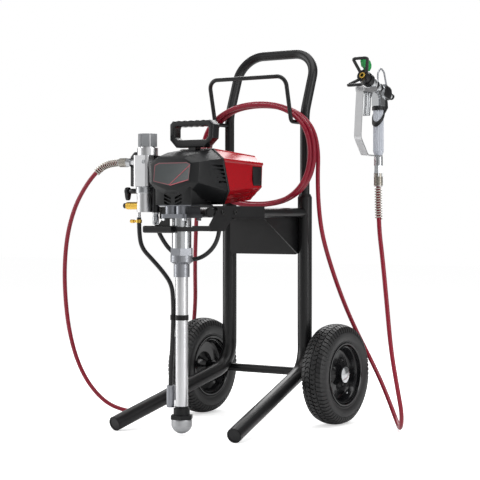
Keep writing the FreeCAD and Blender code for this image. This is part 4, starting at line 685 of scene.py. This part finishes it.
# %% Rims, bolts and valves
rim_outline = [
    (26.8, 8.0), (26.8, 18.6), (20.0, 19.6), (9.0, 23.0), (2.4, 29.0), (0.4, 36.0), (0.0, 58.0), (2.6, 64.5),
    (8.0, 67.6), (20.0, 70.0), (22.6, 71.6), (23.4, 75.4), (26.4, 76.8), (30.4, 77.6), (31.8, 79.4), (32.0, 82.4),
    (28.5, 82.4), (28.5, 73.9), (-28.5, 73.9), (-28.5, 82.4), (-32.0, 82.4), (-31.8, 79.4), (-30.4, 77.6),
    (-26.4, 76.8), (-23.4, 75.4), (-22.6, 71.6), (-9.0, 69.0), (-5.0, 65.5), (-3.0, 58.0), (-2.6, 38.0),
    (-6.0, 31.0), (-12.0, 24.0), (-20.0, 16.6), (-36.4, 15.2), (-36.4, 8.0),
]
BOLT_CIRCLE = 46.0
VALVE_CIRCLE = 57.0


def on_rim(centre, out, degrees, radius):
    """A place one millimetre into the rim's floor, at an angle from the top and a distance from the axle."""
    angle = math.radians(degrees)
    return centre + Vector((0, math.sin(angle), math.cos(angle))) * radius - out


for side, word in ((-1, "left"), (1, "right")):
    rim = bmesh.new()
    out = Vector((side, 0, 0))
    centre = Vector(AXLE) + out * WHEEL_X
    turn(rim, rim_outline, centre, out, steps=80, closed=True)
    for degrees in (40, 130, 220, 310):
        spot = on_rim(centre, out, degrees, BOLT_CIRCLE)
        turn(rim, [(0, 0), (0, 6.4), (2.2, 6.2), (4.6, 4.4), (5.6, 2.2), (5.8, 0)], spot, out, steps=16)
    spot = on_rim(centre, out, 152, VALVE_CIRCLE)
    turn(rim, [(0, 0), (0, 5.6), (3, 5.0), (12, 3.4), (12, 0)], spot, out, steps=16)
    keep("rim_dish_" + word, rim, "wheel_" + word, [rim_enamel], ("wheel_" + word + "_rim",), 26)
    valve = bmesh.new()
    turn(valve, [(11.8, 0), (11.8, 2.6), (20, 2.6), (20.6, 2.0), (20.6, 0)], spot, out, steps=14)
    keep("valve_stem_" + word, valve, "wheel_" + word, [zinc_plate])

# %% [markdown]
# ## The black front cover
# The pump's front is a faceted shell of moulded ABS: a flat face with a name plate, a narrow band of slanted
# facets round it, and large side facets that open towards the seam. Each outline has eight corners. The table
# gives the right half of each: its depth, then the (x, z) of its top, roof, bottom and keel corners.

# %% Cover outlines
COVER_TABLE = [
    (-432.0, (62.0, 678.0), (42.0, 690.0), (60.0, 630.0), (12.0, 612.0)),
    (-420.0, (80.0, 681.0), (46.0, 697.0), (75.0, 630.0), (40.0, 600.0)),
    (-380.0, (80.5, 686.0), (50.0, 708.0), (85.0, 622.0), (57.0, 590.0)),
    (-320.0, (80.5, 692.0), (50.0, 717.0), (98.5, 611.0), (82.0, 578.0)),
]
SEAM = COVER_TABLE[3]
BACK = (-156.0, (89.0, 685.0), (67.0, 703.0), (88.0, 623.0), (52.0, 590.0))


def both_sides(depth, half):
    """A closed outline at a depth, from its right half's (x, z) corners, listed from the top down."""
    return [(x, depth, z) for x, z in half] + [(-x, depth, z) for x, z in reversed(half)]


def blend(a, b, share):
    """The corner a share of the way from a to b."""
    return tuple(p + (q - p) * share for p, q in zip(a, b))


def side_x(depth, height):
    """How far out the black cover's side facet lies at a depth and height."""
    share = (depth - COVER_TABLE[2][0]) / (SEAM[0] - COVER_TABLE[2][0])
    top = blend(COVER_TABLE[2][1], SEAM[1], share)
    bottom = blend(COVER_TABLE[2][3], SEAM[3], share)
    return top[0] + (bottom[0] - top[0]) * (top[1] - height) / (top[1] - bottom[1])


print("side facet at the slots:", round(side_x(-345, 653), 1), "mm out")

# %% [markdown]
# A skin stretched over the four outlines gives the facets, and a narrow bevel catches the light along every
# crease. Five air slots on each side are wedges cut into the facet, deeper towards the seam. They are cut, not
# painted, because a slot shows its dark inside from every direction.

# %% Black shell with its slots
shell = bmesh.new()
skin(shell, [both_sides(depth, (roof, top, bottom, keel)) for depth, top, roof, bottom, keel in COVER_TABLE])
soften(shell, 1.6, angle=8)
slots = bmesh.new()
SLOT_ENDS = [(-367, -328), (-365, -326), (-359, -324), (-354.5, -322), (-350, -320.5)]
SLOT_HEIGHTS = [672.9, 663.2, 653.2, 642.9, 632.8]
for (front, rear), height in zip(SLOT_ENDS, SLOT_HEIGHTS):
    for side in (-1, 1):
        wedge = [(front - 3, 1.5), (rear, 1.5), (rear, -9.0), (rear - 14, -8.0), (front + 2, -4.0), (front - 3, -1.2)]
        outline = [(side * (side_x(y, height) + out), y, height - 2.8) for y, out in wedge]
        plate(slots, outline, (0, 0, 5.6))
shell = cut_out(shell, slots)
keep("front_shell", shell, "cart", [black_abs], ("front_cover",), 20)

# %% [markdown]
# Below the face hangs the chin, a plain box with rounded upright corners. A fan of six slots is cut into its
# front, three on each side of the middle. Behind the filter stands a thin box with one sloping corner, which
# is one outline pushed back.

# %% Chin with a fan of slots, and the box behind the filter
chin = bmesh.new()
plate(chin, [(-56, -424, 575.7), (56, -424, 575.7), (56, -331, 575.7), (-56, -331, 575.7)], (0, 0, 54))
soften(chin, 5.0, segments=3, chosen=lambda edge: abs(edge.verts[0].co.z - edge.verts[1].co.z) > 20)
soften(chin, 1.2, angle=40)
fan = bmesh.new()
for side in (-1, 1):
    for step in (0, 8.8, 17.6):
        outline = [(6.0, 589.2), (27.6, 597.2), (27.0, 603.0), (6.0, 595.2)]
        plate(fan, [(side * x, -426, z - step) for x, z in outline], (0, 9.0, 0))
chin = cut_out(chin, fan)
keep("chin_shell", chin, "cart", [black_abs], crease=24)
housing = bmesh.new()
corners = [(-169.3, 624), (-169.3, 700), (-157.3, 712), (-143.9, 712), (-143.9, 701.5), (-80, 701.5), (-80, 624)]
plate(housing, [(x, -380, z) for x, z in corners], (0, 28, 0))
soften(housing, 2.6, angle=30, segments=3)
keep("control_housing", housing, "cart", [black_abs], crease=30)

# %% [markdown]
# The name plate on the face is left bare: a grey film with a fine red frame printed on it and one red stripe
# across. It is a seven-cornered face that is pushed out and inset twice, and the ring between the insets
# takes the red ink. So do the stripe and the film's edge below it, which are found by where they lie.

# %% Name plate
# Printed plastic film: dark grey, with a broad sheen.
plate_grey = shade("grey_plate_film", "#45494A", "#4D5152", 1.0, 0.4, 0.04, 0.004, Specular_IOR_Level=0.45)
# Screen-printed ink: a pale, flat red.
plate_red = shade("red_plate_ink", "#B4505A", "#BE5A64", 1.0, 0.4, 0.04, 0.002)
FACE_FRONT = -432.0
STRIPE_MIDDLE = 26.8
INK = 1
name_plate = bmesh.new()
corners = [
    (-36.6, 681.0), (49.2, 681.0), (60.6, 675.2), (55.0, 636.6), (-2.6, 623.2), (-54.6, 634.0), (-50.6, 675.4),
]
plate(name_plate, [(x, FACE_FRONT, z) for x, z in corners], (0, -0.9, 0))
bmesh.ops.recalc_face_normals(name_plate, faces=name_plate.faces)
front = min(name_plate.faces, key=lambda face: face.calc_center_median().y)
bmesh.ops.inset_individual(name_plate, faces=[front], thickness=1.5, depth=0)
for face in bmesh.ops.inset_individual(name_plate, faces=[front], thickness=0.9, depth=0)["faces"]:
    face.material_index = INK
bmesh.ops.translate(name_plate, vec=(0, 0.25, 0), verts=front.verts)
stripe = [(59.0, 672.4), (57.6, 673.4), (-5.6, 626.0), (-3.6, 625.8)]
plate(name_plate, [(x, FACE_FRONT - 0.3, z) for x, z in stripe], (0, -0.7, 0))
for face in name_plate.faces:
    middle = face.calc_center_median()
    if len(face.verts) == 4 and abs(middle.x - STRIPE_MIDDLE) < 2 and middle.z < 652:
        face.material_index = INK
keep("name_plate", name_plate, "cart", [plate_grey, plate_red], crease=30)

# %% [markdown]
# ## The red motor cover
# Behind the seam the shell is glossy red. Its outline has more corners: a lip that overhangs the side at
# the top, a flat side panel, and three steps below it that stiffen the moulding. The same skin over two
# outlines makes it, one at the seam and one at the back.

# %% Red shell's outline


def red_outline(section):
    """The red cover's outline at one end, from its four main corners."""
    depth, top, roof, bottom, keel = section
    half = [(roof[0] - 12, roof[1]), (roof[0] - 10.5, roof[1] + 2.2), (roof[0] - 1, roof[1] + 1.8)]
    half += [(roof[0] + 1.5, roof[1] - 2.4), (top[0] - 3.5, top[1] + 1.6), (top[0] + 2.6, top[1] + 1.0)]
    half += [(top[0] + 3.2, top[1] - 4.6), (top[0] + 0.2, top[1] - 7.6), (bottom[0] - 0.6, bottom[1] + 3.0)]
    half += [bottom]
    for share in (0.33, 0.66):
        x, z = blend(bottom, keel, share)
        half += [(x + 1.4, z + 1.0), (x - 3.0, z - 1.6)]
    return both_sides(depth, half + [keel])


print("corners in the red outline:", len(red_outline(SEAM)))

# %% [markdown]
# The left side, which the picture doesn't show, carries the controls on a flat raised pad, with openings for
# the switch and the mains socket. Each opening is cut through the shell and through the pad one by one,
# because a mesh that overlaps itself doesn't cut the same way in every run.

# %% Red shell
red = bmesh.new()
skin(red, [red_outline(SEAM), red_outline(BACK)])
soften(red, 0.9, angle=12)
pad = bmesh.new()
plate(pad, [(-94.5, -319, 628), (-94.5, -208, 628), (-80, -208, 628), (-80, -319, 628)], (0, 0, 46))
soften(pad, 1.6, angle=30)
openings = bmesh.new()
plate(openings, [(-96, -274, 642), (-96, -250, 642), (-86, -250, 642), (-86, -274, 642)], (0, 0, 16))
plate(openings, [(-96, -243, 634), (-96, -213, 634), (-83, -213, 634), (-83, -243, 634)], (0, 0, 22))
openings_again = openings.copy()
red = cut_out(red, openings)
join(red, cut_out(pad, openings_again))
keep("red_shell", red, "cart", [red_abs], ("motor_cover",), 20)

# %% [markdown]
# A black cap wraps the back corners of the red shell. It stands a millimetre proud, so it is drawn from the
# same corners, pushed outwards. At the seam the black shell ends in a thin lip that laps over the red one,
# which is the seam's own outline, swollen a little.

# %% Rear cap and the seam's lip


def side_at(height, share):
    """How far out the red cover's side lies at a height, a share of the way from the seam to the back."""
    top = blend(SEAM[1], BACK[1], share)
    bottom = blend(SEAM[3], BACK[3], share)
    return top[0] + (bottom[0] - top[0]) * (top[1] - height) / (top[1] - bottom[1])


rear = bmesh.new()
sections = []
for depth, proud in ((-199.0, 0.9), (-160.0, 1.2), (-154.6, -4.0)):
    share = (depth - SEAM[0]) / (BACK[0] - SEAM[0])
    high, low = (678.0, 625.0) if depth < -158 else (674.0, 629.0)
    half = [(side_at(high, share) + proud - 3, high), (side_at(high - 4, share) + proud, high - 4)]
    half += [(side_at(low + 4, share) + proud, low + 4), (side_at(low, share) + proud - 3, low)]
    sections.append(both_sides(depth, half))
skin(rear, sections)
soften(rear, 1.2, angle=25)
keep("rear_cap_shell", rear, "cart", [black_abs], ("rear_cap",), 24)
lip = bmesh.new()
depth, top, roof, bottom, keel = SEAM
swell = [(roof[0] + 0.8, roof[1] + 1.6), (top[0] + 1.6, top[1] + 0.8), (bottom[0] + 1.6, bottom[1])]
swell += [(keel[0] + 0.8, keel[1] - 1)]
start_of_lip = [(x - 1.2, z - 1.0 if z > 650 else z) for x, z in swell]
skin(lip, [both_sides(depth - 5.5, start_of_lip), both_sides(depth + 0.8, swell)])
soften(lip, 0.7, angle=12)
keep("seam_lip", lip, "cart", [black_abs], crease=20)

# %% [markdown]
# ## The carry handle
# A thick moulded ring with a hand hole. The grip is wavy above and below, so that fingers find their place.
# The outer and inner outlines are filled as one flat ring, which is pushed through the handle's depth and
# rounded. A short neck stands on the cover.

# %% Carry handle
# Glass-filled nylon from a polished mould: black with clear highlights.
handle_nylon = shade("glossy_black_nylon", "#0E0E10", "#141416", 0.9, 0.24, 0.05, 0.015)
HANDLE_FRONT = -347.0
HANDLE_DEPTH = 30.0
outer = [(-58.5, 789.2)] + [(-50 + 9.6 * i, 789.9 - (0 if i % 2 else 1.7)) for i in range(11)]
outer += [(55.5, 789.2), (67.4, 778), (65.4, 743), (41.5, 721.1), (-47.5, 721.1), (-67.4, 741), (-67.4, 781)]
inner = [(-53, 768.5), (-50.8, 774)] + [(-44 + 8.8 * i, 775.2 - (1.9 if i % 2 else 0)) for i in range(11)]
inner += [(51, 774), (53, 768), (52, 749), (45, 740.4), (-44, 740.4), (-53, 748)]
ring = bmesh.new()
borders = []
for outline in (outer, inner):
    points = [ring.verts.new((x, HANDLE_FRONT, z)) for x, z in outline]
    borders += [ring.edges.new((points[i - 1], points[i])) for i in range(len(points))]
bmesh.ops.triangle_fill(ring, edges=borders, use_beauty=True, use_dissolve=True, normal=(0, -1, 0))
pushed = bmesh.ops.extrude_face_region(ring, geom=ring.faces[:])
bmesh.ops.translate(ring, vec=(0, HANDLE_DEPTH, 0), verts=new_points(pushed))
soften(ring, 3.0, angle=60, segments=4)
plate(ring, [(-11, -344, 700), (11, -344, 700), (11, -320, 700), (-11, -320, 700)], (0, 0, 24))
keep("carry_ring", ring, "cart", [handle_nylon], ("carry_handle",), 35)

# %% [markdown]
# ## The filter
# The filter's cap is a turned steel core with six grey grips pressed on it, so bright slits show between
# them. The grips are one plate, copied five times round the cap. Below the block, a plated ring clamps the
# bowl, and a small plug with a hollow end closes the spare port.

# %% Filter cap, bowl ring and port plug
# Moulded nylon, filled with glass: mid grey, with soft highlights.
cap_grey = shade("grey_cap_nylon", "#87898C", "#939598", 0.9, 0.36, 0.05, 0.02)
FILTER_X = -111.5
FILTER_Y = -393.5
UP = (0, 0, 1)
CAP_SPOT = Vector((FILTER_X + 3, FILTER_Y + 8, 702))
core = bmesh.new()
core_profile = [(10, 13.8), (19, 13.8), (19, 19), (22, 19), (22, 21.4), (53, 21.4), (54, 20.4), (54, 0)]
turn(core, core_profile, CAP_SPOT, UP)
keep("cap_core", core, "cart", [drawn_aluminium], ("filter_cap",))
grips = bmesh.new()
grip_outline = [(14.2, -9.8), (22.4, -9.8), (22.8, -7.6), (22.8, 7.6), (22.4, 9.8), (14.2, 9.8)]
plate(grips, [(x, y, 22.0) for x, y in grip_outline], (0, 0, 33.0))
soften(grips, 0.8, angle=25)
one = grips.verts[:] + grips.edges[:] + grips.faces[:]
bmesh.ops.spin(
    grips, geom=one, cent=(0, 0, 0), axis=UP, angle=math.radians(300), steps=5, use_duplicate=True, dvec=(0, 0, 0),
)
bmesh.ops.rotate(grips, cent=(0, 0, 0), matrix=Matrix.Rotation(math.radians(-5), 3, "Z"), verts=grips.verts)
bmesh.ops.translate(grips, vec=CAP_SPOT, verts=grips.verts)
keep("cap_grips", grips, "cart", [cap_grey])
ring = bmesh.new()
ring_profile = [(606, 17), (606, 21.9), (607.5, 22.9), (621, 22.9), (622.5, 21.9), (622.5, 17)]
turn(ring, ring_profile, (FILTER_X, FILTER_Y, 0), UP, closed=True)
keep("bowl_ring", ring, "cart", [zinc_plate])
plug = bmesh.new()
plug_profile = [(0, 0), (0, 5.2), (1.4, 5.2), (2.0, 4.4), (2.0, 2.6), (0.8, 2.2), (0.8, 0)]
turn(plug, plug_profile, (-101, FILTER_Y - 19.6, 685), (0, -1, 0), steps=24)
keep("gauge_plug", plug, "cart", [zinc_plate])

# %% [markdown]
# Small fittings: a brass clamp with its screw grips the return tube on its barb, a plated ferrule is
# crimped on the transfer hose, and four bolts come up through the pump's flange. All are turned parts, and
# a bolt's six sides are a spin of six steps.

# %% Clamp, ferrule and flange bolts
RETURN_TOP = (-125.3, -399.4, 0)
TRANSFER_TOP = (-82.5, -385.5, 0)
clamp = bmesh.new()
turn(clamp, [(531, 5.7), (531, 7.6), (539, 7.6), (539, 5.7)], RETURN_TOP, UP, closed=True)
screw_profile = [(-132, 0), (-132, 3.2), (-140, 3.2), (-140, 4.6), (-150, 4.6), (-151, 3.8), (-151, 0)]
turn(clamp, screw_profile, (0, -401, 535), (1, 0, 0), steps=20)
keep("tube_clamp", clamp, "cart", [turned_brass])
ferrule = bmesh.new()
ferrule_profile = [(526.5, 5.7), (526.5, 7.4), (528, 8.0), (546, 8.0), (548, 7.0), (554, 7.0), (554, 5.7)]
turn(ferrule, ferrule_profile, TRANSFER_TOP, UP, closed=True)
keep("hose_ferrule", ferrule, "cart", [zinc_plate])
bolts = bmesh.new()
bolt_profile = [(0, 0), (0, 5.5), (1, 6.2), (6, 6.2), (7, 5.4), (7, 3.4), (3.5, 3.0), (3.5, 0)]
for x, y in ((-31, -416), (31, -416), (-31, -357), (31, -357)):
    turn(bolts, bolt_profile, (x, y, 543), (0, 0, -1), steps=6)
keep("flange_bolts", bolts, "cart", [zinc_plate], crease=20)

# %% [markdown]
# The prime lever is a small arched black handle with a ring moulded round its pivot. Its outline is an arc
# with a tongue below. Black caps cover its spindle, the valve's end and the pipe that brings the paint up
# from the pump.

# %% Prime lever and black caps
LEVER_X = -167.5
PIVOT_Y, PIVOT_Z = -397.5, 611.5
LEVER_RADIUS = 10.4
bearings = [math.radians(-28 + 236 * i / 14) for i in range(15)]
outline = [(PIVOT_Y + LEVER_RADIUS * math.cos(b), PIVOT_Z + LEVER_RADIUS * math.sin(b)) for b in bearings]
outline += [(-404.6, 596), (-402.4, 590), (-399.4, 588), (-395.6, 588), (-392.6, 590), (-390.4, 596)]
lever = bmesh.new()
plate(lever, [(LEVER_X, y, z) for y, z in outline], (9.5, 0, 0))
soften(lever, 1.8, angle=30, segments=3)
pivot_ring = [(0, 5.2), (1.4, 6.2), (1.4, 7.4), (0, 8.2)]
turn(lever, pivot_ring, (LEVER_X - 0.1, PIVOT_Y, PIVOT_Z), (-1, 0, 0), steps=32, closed=True)
keep("lever_handle", lever, "prime_lever", [handle_nylon], ("prime_lever",))
caps = bmesh.new()
spindle_cap = [(157, 3.6), (157, 6.0), (156, 6.6), (135, 6.6), (134, 6.0), (134, 3.6)]
turn(caps, spindle_cap, (0, PIVOT_Y, PIVOT_Z), (-1, 0, 0), steps=28, closed=True)
valve_cap = [(174.5, 0), (174.5, 6.0), (173.6, 7.0), (165, 7.0), (164.4, 6.4), (164.4, 0)]
turn(caps, valve_cap, (0, PIVOT_Y, 574.5), (-1, 0, 0), steps=28)
pipe_cap = [(556, 5.8), (556, 8.4), (558, 9.9), (631, 9.9), (632, 9.2), (632, 8.6), (600, 8.6), (570, 8.6)]
turn(caps, pipe_cap + [(570, 5.8)], TRANSFER_TOP, UP, steps=32, closed=True)
keep("black_caps", caps, "cart", [handle_nylon])

# %% [markdown]
# ## The gun
# The gun is turned and milled steel. Its parts are turned or wound here along the barrel's own line, which
# leans eighteen degrees down toward the tip, so one function turns a place on the barrel into a place in the
# drawing.

# %% Places along the barrel
LEAN = math.radians(18)
BARREL = Vector((0, -math.cos(LEAN), math.sin(LEAN)))
LIFT = Vector((0, math.sin(LEAN), math.cos(LEAN)))
TIP = Vector((388, -152, 893))


def along(x, u, v):
    """A place in the drawing's millimetres: x across, u along the barrel and v square to it, from the tip."""
    return TIP + Vector((x, 0, 0)) + BARREL * u + LIFT * v


print("barrel points at", [round(v, 2) for v in BARREL])

# %% [markdown]
# The tip guard's loops keep fingers away from the spray. They are wire over-moulded in black, so each is a
# round tube along a bent path: a curve with a bevel that is read as a mesh. A brass seat holds the tip.

# %% Tip guard's thick loops and brass seat
LOOP_RADIUS = 4.0


def wire(made, points, radius):
    """A round wire along points, joined to a piece."""
    curve = bpy.data.curves.new("wire", "CURVE")
    curve.dimensions = "3D"
    curve.bevel_depth = radius
    curve.bevel_resolution = 4
    curve.use_fill_caps = True
    line = curve.splines.new("POLY")
    line.points.add(len(points) - 1)
    for spot, point in zip(line.points, points):
        spot.co = (*point, 1)
    held = bpy.data.objects.new("wire", curve)
    made.from_mesh(bpy.data.meshes.new_from_object(held))
    bpy.data.objects.remove(held)


loops = bmesh.new()
for angle, length in ((46, 42), (-42, 46)):
    lean = math.radians(angle)
    root = 6.0 if angle > 0 else -6.0
    path = [(-7, 0), (-18.4, length - 7), (-19.4, length - 3.4), (-18.2, length - 1), (-15, length), (0, length)]
    path += [(15, length), (18.2, length - 1), (19.4, length - 3.4), (18.4, length - 7), (7, 0)]
    wire(loops, [along(x, 3 + t * math.cos(lean), root + t * math.sin(lean)) for x, t in path], LOOP_RADIUS)
keep("guard_loops", loops, "tip_guard", [handle_nylon])
seat = bmesh.new()
turn(seat, [(8.6, 4.2), (8.6, 7.6), (10.6, 7.8), (11.4, 7.0), (11.4, 4.6)], TIP, BARREL, closed=True)
keep("tip_seat", seat, "tip_guard", [turned_brass])

# %% [markdown]
# Bright collars break up the barrel. Black rings between them paint the shade that falls in the grooves between the
# collars, and a black cap sits on the rear knob. Each is a turned ring, given by where it starts and ends along the
# barrel. A thin black panel covers the side.

# %% Collars, black rings of painted groove shade, and side panel
BORE = 12.5
collars = bmesh.new()
for start_u, end_u, radius in ((-35, -30, 15.2), (-47, -42, 15.2), (-66, -60, 14.6)):
    rounded = [(start_u, radius - 0.8), (start_u + 0.8, radius), (end_u - 0.8, radius), (end_u, radius - 0.8)]
    turn(collars, [(start_u, BORE), *rounded, (end_u, BORE)], TIP, BARREL, closed=True)
keep("barrel_collars", collars, "gun", [polished_steel])
# Black rings between the collars: painted shade of the grooves between them. The last turn is the black cap on the
# rear knob.
groove_shade_and_knob = bmesh.new()
for start_u, end_u in ((-41, -36), (-57, -50), (-78, -72)):
    turn(groove_shade_and_knob, [(start_u, BORE), (start_u, 13.7), (end_u, 13.7), (end_u, BORE)], TIP, BARREL, closed=True)
knob_profile = [(-149.5, 0), (-149.5, 7.2), (-148.5, 8.0), (-143, 8.0), (-142, 7.4), (-142, 0)]
turn(groove_shade_and_knob, knob_profile, along(0, 0, 5), BARREL)
keep("groove_shade_rings_and_knob_cap", groove_shade_and_knob, "gun", [black_nylon])
panel = bmesh.new()
panel_outline = [(-88, -15), (-88, 9), (-94, 12.5), (-116, 12.5), (-120, 7), (-120, -10), (-113, -15)]
plate(panel, [along(14.0, u, v) for u, v in panel_outline], (1.2, 0, 0))
soften(panel, 0.4, angle=30)
keep("gun_panel", panel, "gun", [black_nylon])

# %% [markdown]
# The handle is a grey moulding with lengthwise ribs, so it is one ribbed outline pushed up its length. The
# trigger is pressed for two fingers, which gives it a groove down the middle: two raised plates with a gap
# between them.

# %% Ribbed handle and trigger fingers
GRIP_X, GRIP_Y = 388, -79
GRIP_RADIUS = 12.75
RIBS = 16
RIB_HEIGHT = 0.7
ribbed = []
for i in range(8 * RIBS):
    bearing = 2 * math.pi * i / (8 * RIBS)
    out = GRIP_RADIUS + RIB_HEIGHT * math.cos(RIBS * bearing)
    ribbed.append((GRIP_X + out * math.cos(bearing), GRIP_Y + out * math.sin(bearing), 711))
grip = bmesh.new()
plate(grip, ribbed, (0, 0, 114))
foot_profile = [(-11, 0), (-11, 5.9), (0, 5.9), (0, 10), (8, 13), (12, 13), (12, 0)]
turn(grip, foot_profile, (GRIP_X, GRIP_Y, 701), UP)
keep("ribbed_grip", grip, "gun", [grey_grip], ("gun_grip",), 40)
fingers = bmesh.new()
finger_outline = [(-136.8, 856), (-139.6, 853), (-140.6, 826), (-145.0, 800), (-142.0, 797.6), (-137.6, 826)]
for near, far in ((-8.6, -1.0), (1.0, 8.6)):
    plate(fingers, [(GRIP_X + near, y, z) for y, z in finger_outline], (far - near, 0, 0))
soften(fingers, 1.2, angle=30, segments=3)
keep("trigger_fingers", fingers, "trigger", [polished_steel])

# %% [markdown]
# Both spring guards are wound tight where they meet the fitting. There the single wires can't be told apart,
# so a turned sleeve with one small ridge for each turn of wire stands for them.

# %% Tight ends of the spring guards
WIRE_PITCH = 2.7


def ridged(start_u, end_u, ridges):
    """The outline of a ridged sleeve, from its start to its end along the axis."""
    shape = [(start_u, 7.4)]
    for i in range(ridges):
        ridge = start_u + WIRE_PITCH * i
        shape += [(ridge + 0.4, 10.6), (ridge + 1.2, 11.7), (ridge + 2.2, 11.7)]
    return shape + [(end_u, 7.4)]


sleeve = bmesh.new()
turn(sleeve, ridged(624, 656.8, 12), (GRIP_X, GRIP_Y, 0), UP, closed=True)
turn(sleeve, ridged(166, 190.8, 9), (0, FILTER_Y, 685), (-1, 0, 0), closed=True)
keep("spring_root", sleeve, "cart", [spring_steel], crease=25)

# %% [markdown]
# ## The studio
# The sprayer stands on a pale floor in front of a white background, and the rest of the room is dim, as in a
# product studio: black paint stays black, and metal shows a bright background between darker bands. The
# floor is a matt white that the camera sees a little brighter than it is lit, so only the shadows show.

# %% Floor
FLOOR_LIFT = 0.53
floor_mesh = bpy.data.meshes.new("floor")
plane = bmesh.new()
bmesh.ops.create_grid(plane, x_segments=1, y_segments=1, size=12)
plane.to_mesh(floor_mesh)
plane.free()
floor = bpy.data.objects.new("floor", floor_mesh)
bpy.context.scene.collection.objects.link(floor)
paper, tree = start("white_paper_floor")
rays = add(tree, "ShaderNodeLightPath")
matt = add(tree, "ShaderNodeBsdfDiffuse", {"Color": colour("#F6F6F6")})
lift = add(tree, "ShaderNodeMath", {0: rays.outputs["Is Camera Ray"], 1: FLOOR_LIFT}, operation="MULTIPLY")
glow = add(tree, "ShaderNodeEmission", {"Strength": lift.outputs[0]})
finish_with(tree, add(tree, "ShaderNodeAddShader", {0: matt.outputs[0], 1: glow.outputs[0]}))
floor_mesh.materials.append(paper)
print("floor laid")

# %% [markdown]
# The room is one world shader. The camera sees it white everywhere. Reflections see tall white cards with
# dark gaps between them, given by their angle round the sprayer from the camera's side, and a dim ceiling.
# It lights every surface with an even pale light.

# %% Room
ROOM_LIGHT = 0.5
ROOM_DIM = 0.3
ROOM_WALL = 0.9
CARDS = [
    (-154, 0.8), (-140, 0.15), (-100, 0.15), (-88, 0.85), (0, 0.85), (12, 0.2), (56, 0.2), (66, 0.9),
    (98, 0.9), (108, 0.15), (150, 0.15), (162, 0.8),
]
world = bpy.data.worlds.new("white_room")
bpy.context.scene.world = world
world.use_nodes = True
tree = world.node_tree
tree.nodes.clear()
rays = add(tree, "ShaderNodeLightPath")
heading = add(tree, "ShaderNodeTexCoord").outputs["Generated"]
ahead = add(tree, "ShaderNodeVectorMath", {0: heading, 1: (-forward.x, -forward.y, 0)}, operation="DOT_PRODUCT")
aside = add(tree, "ShaderNodeVectorMath", {0: heading, 1: (-forward.y, forward.x, 0)}, operation="DOT_PRODUCT")
turned = add(tree, "ShaderNodeMath", {0: aside.outputs["Value"], 1: ahead.outputs["Value"]}, operation="ARCTAN2")
around = add(tree, "ShaderNodeMapRange", {0: turned.outputs[0], 1: -math.pi, 2: math.pi, 3: 0.0, 4: 1.0})
cards = add(tree, "ShaderNodeValToRGB", {0: around.outputs[0]})
stops = cards.color_ramp.elements
for stop in stops[:]:
    stop.color = (ROOM_WALL, ROOM_WALL, ROOM_WALL, 1)
for degrees, level in CARDS:
    stops.new((degrees + 180) / 360).color = (level, level, level, 1)
height = add(tree, "ShaderNodeSeparateXYZ", {0: heading})
ceiling = add(tree, "ShaderNodeMapRange", {0: height.outputs["Z"], 1: 0.4, 2: 0.7, 3: 0.0, 4: 1.0})
behind = add(tree, "ShaderNodeMix", {0: ceiling.outputs[0], 2: cards.outputs[0], 3: ROOM_DIM}, data_type="FLOAT")
shiny = add(tree, "ShaderNodeMath", {0: rays.outputs["Is Glossy Ray"], 1: rays.outputs["Is Transmission Ray"]},
            operation="MAXIMUM")
lit = add(tree, "ShaderNodeMix", {0: shiny.outputs[0], 2: ROOM_LIGHT, 3: behind.outputs[0]}, data_type="FLOAT")
seen = add(tree, "ShaderNodeMix", {0: rays.outputs["Is Camera Ray"], 2: lit.outputs[0], 3: 1.0}, data_type="FLOAT")
light = add(tree, "ShaderNodeBackground", {"Color": (1, 1, 1, 1), "Strength": seen.outputs[0]})
add(tree, "ShaderNodeOutputWorld", {"Surface": light.outputs[0]})
print("room ready")

# %% [markdown]
# Four large soft lamps draw the long highlights: a tall one to the left of the camera, a narrower one to
# the right, one overhead, and one high behind the sprayer that edges the tops.

# %% Lamps


def lamp(name, place, aim, width, height, watts):
    """A soft lamp at a place, turned to what it lights."""
    data = bpy.data.lights.new(name, "AREA")
    data.shape = "RECTANGLE"
    data.size = width
    data.size_y = height
    data.energy = watts
    made = bpy.data.objects.new(name, data)
    bpy.context.scene.collection.objects.link(made)
    made.location = place
    made.rotation_mode = "QUATERNION"
    made.rotation_quaternion = (aim - place).to_track_quat("-Z", "Y")


lamp("tall_left", at(-2700, -1300, 1300), at(0, -150, 500), 1.4, 2.4, 34)
lamp("tall_right", at(2700, -300, 1300), at(0, -150, 500), 0.8, 2.4, 20)
lamp("overhead", at(300, -400, 2700), at(0, -150, 400), 2.2, 2.2, 32)
lamp("high_back", at(-640, 1650, 1950), at(60, -250, 680), 1.8, 1.2, 26)
print("lamps ready")

# %% [markdown]
# The Standard view keeps the colours as they were matched. Everything added here has to keep to their
# outline.

# %% Standard view
bpy.context.scene.view_settings.view_transform = "Standard"
bpy.context.view_layer.update()
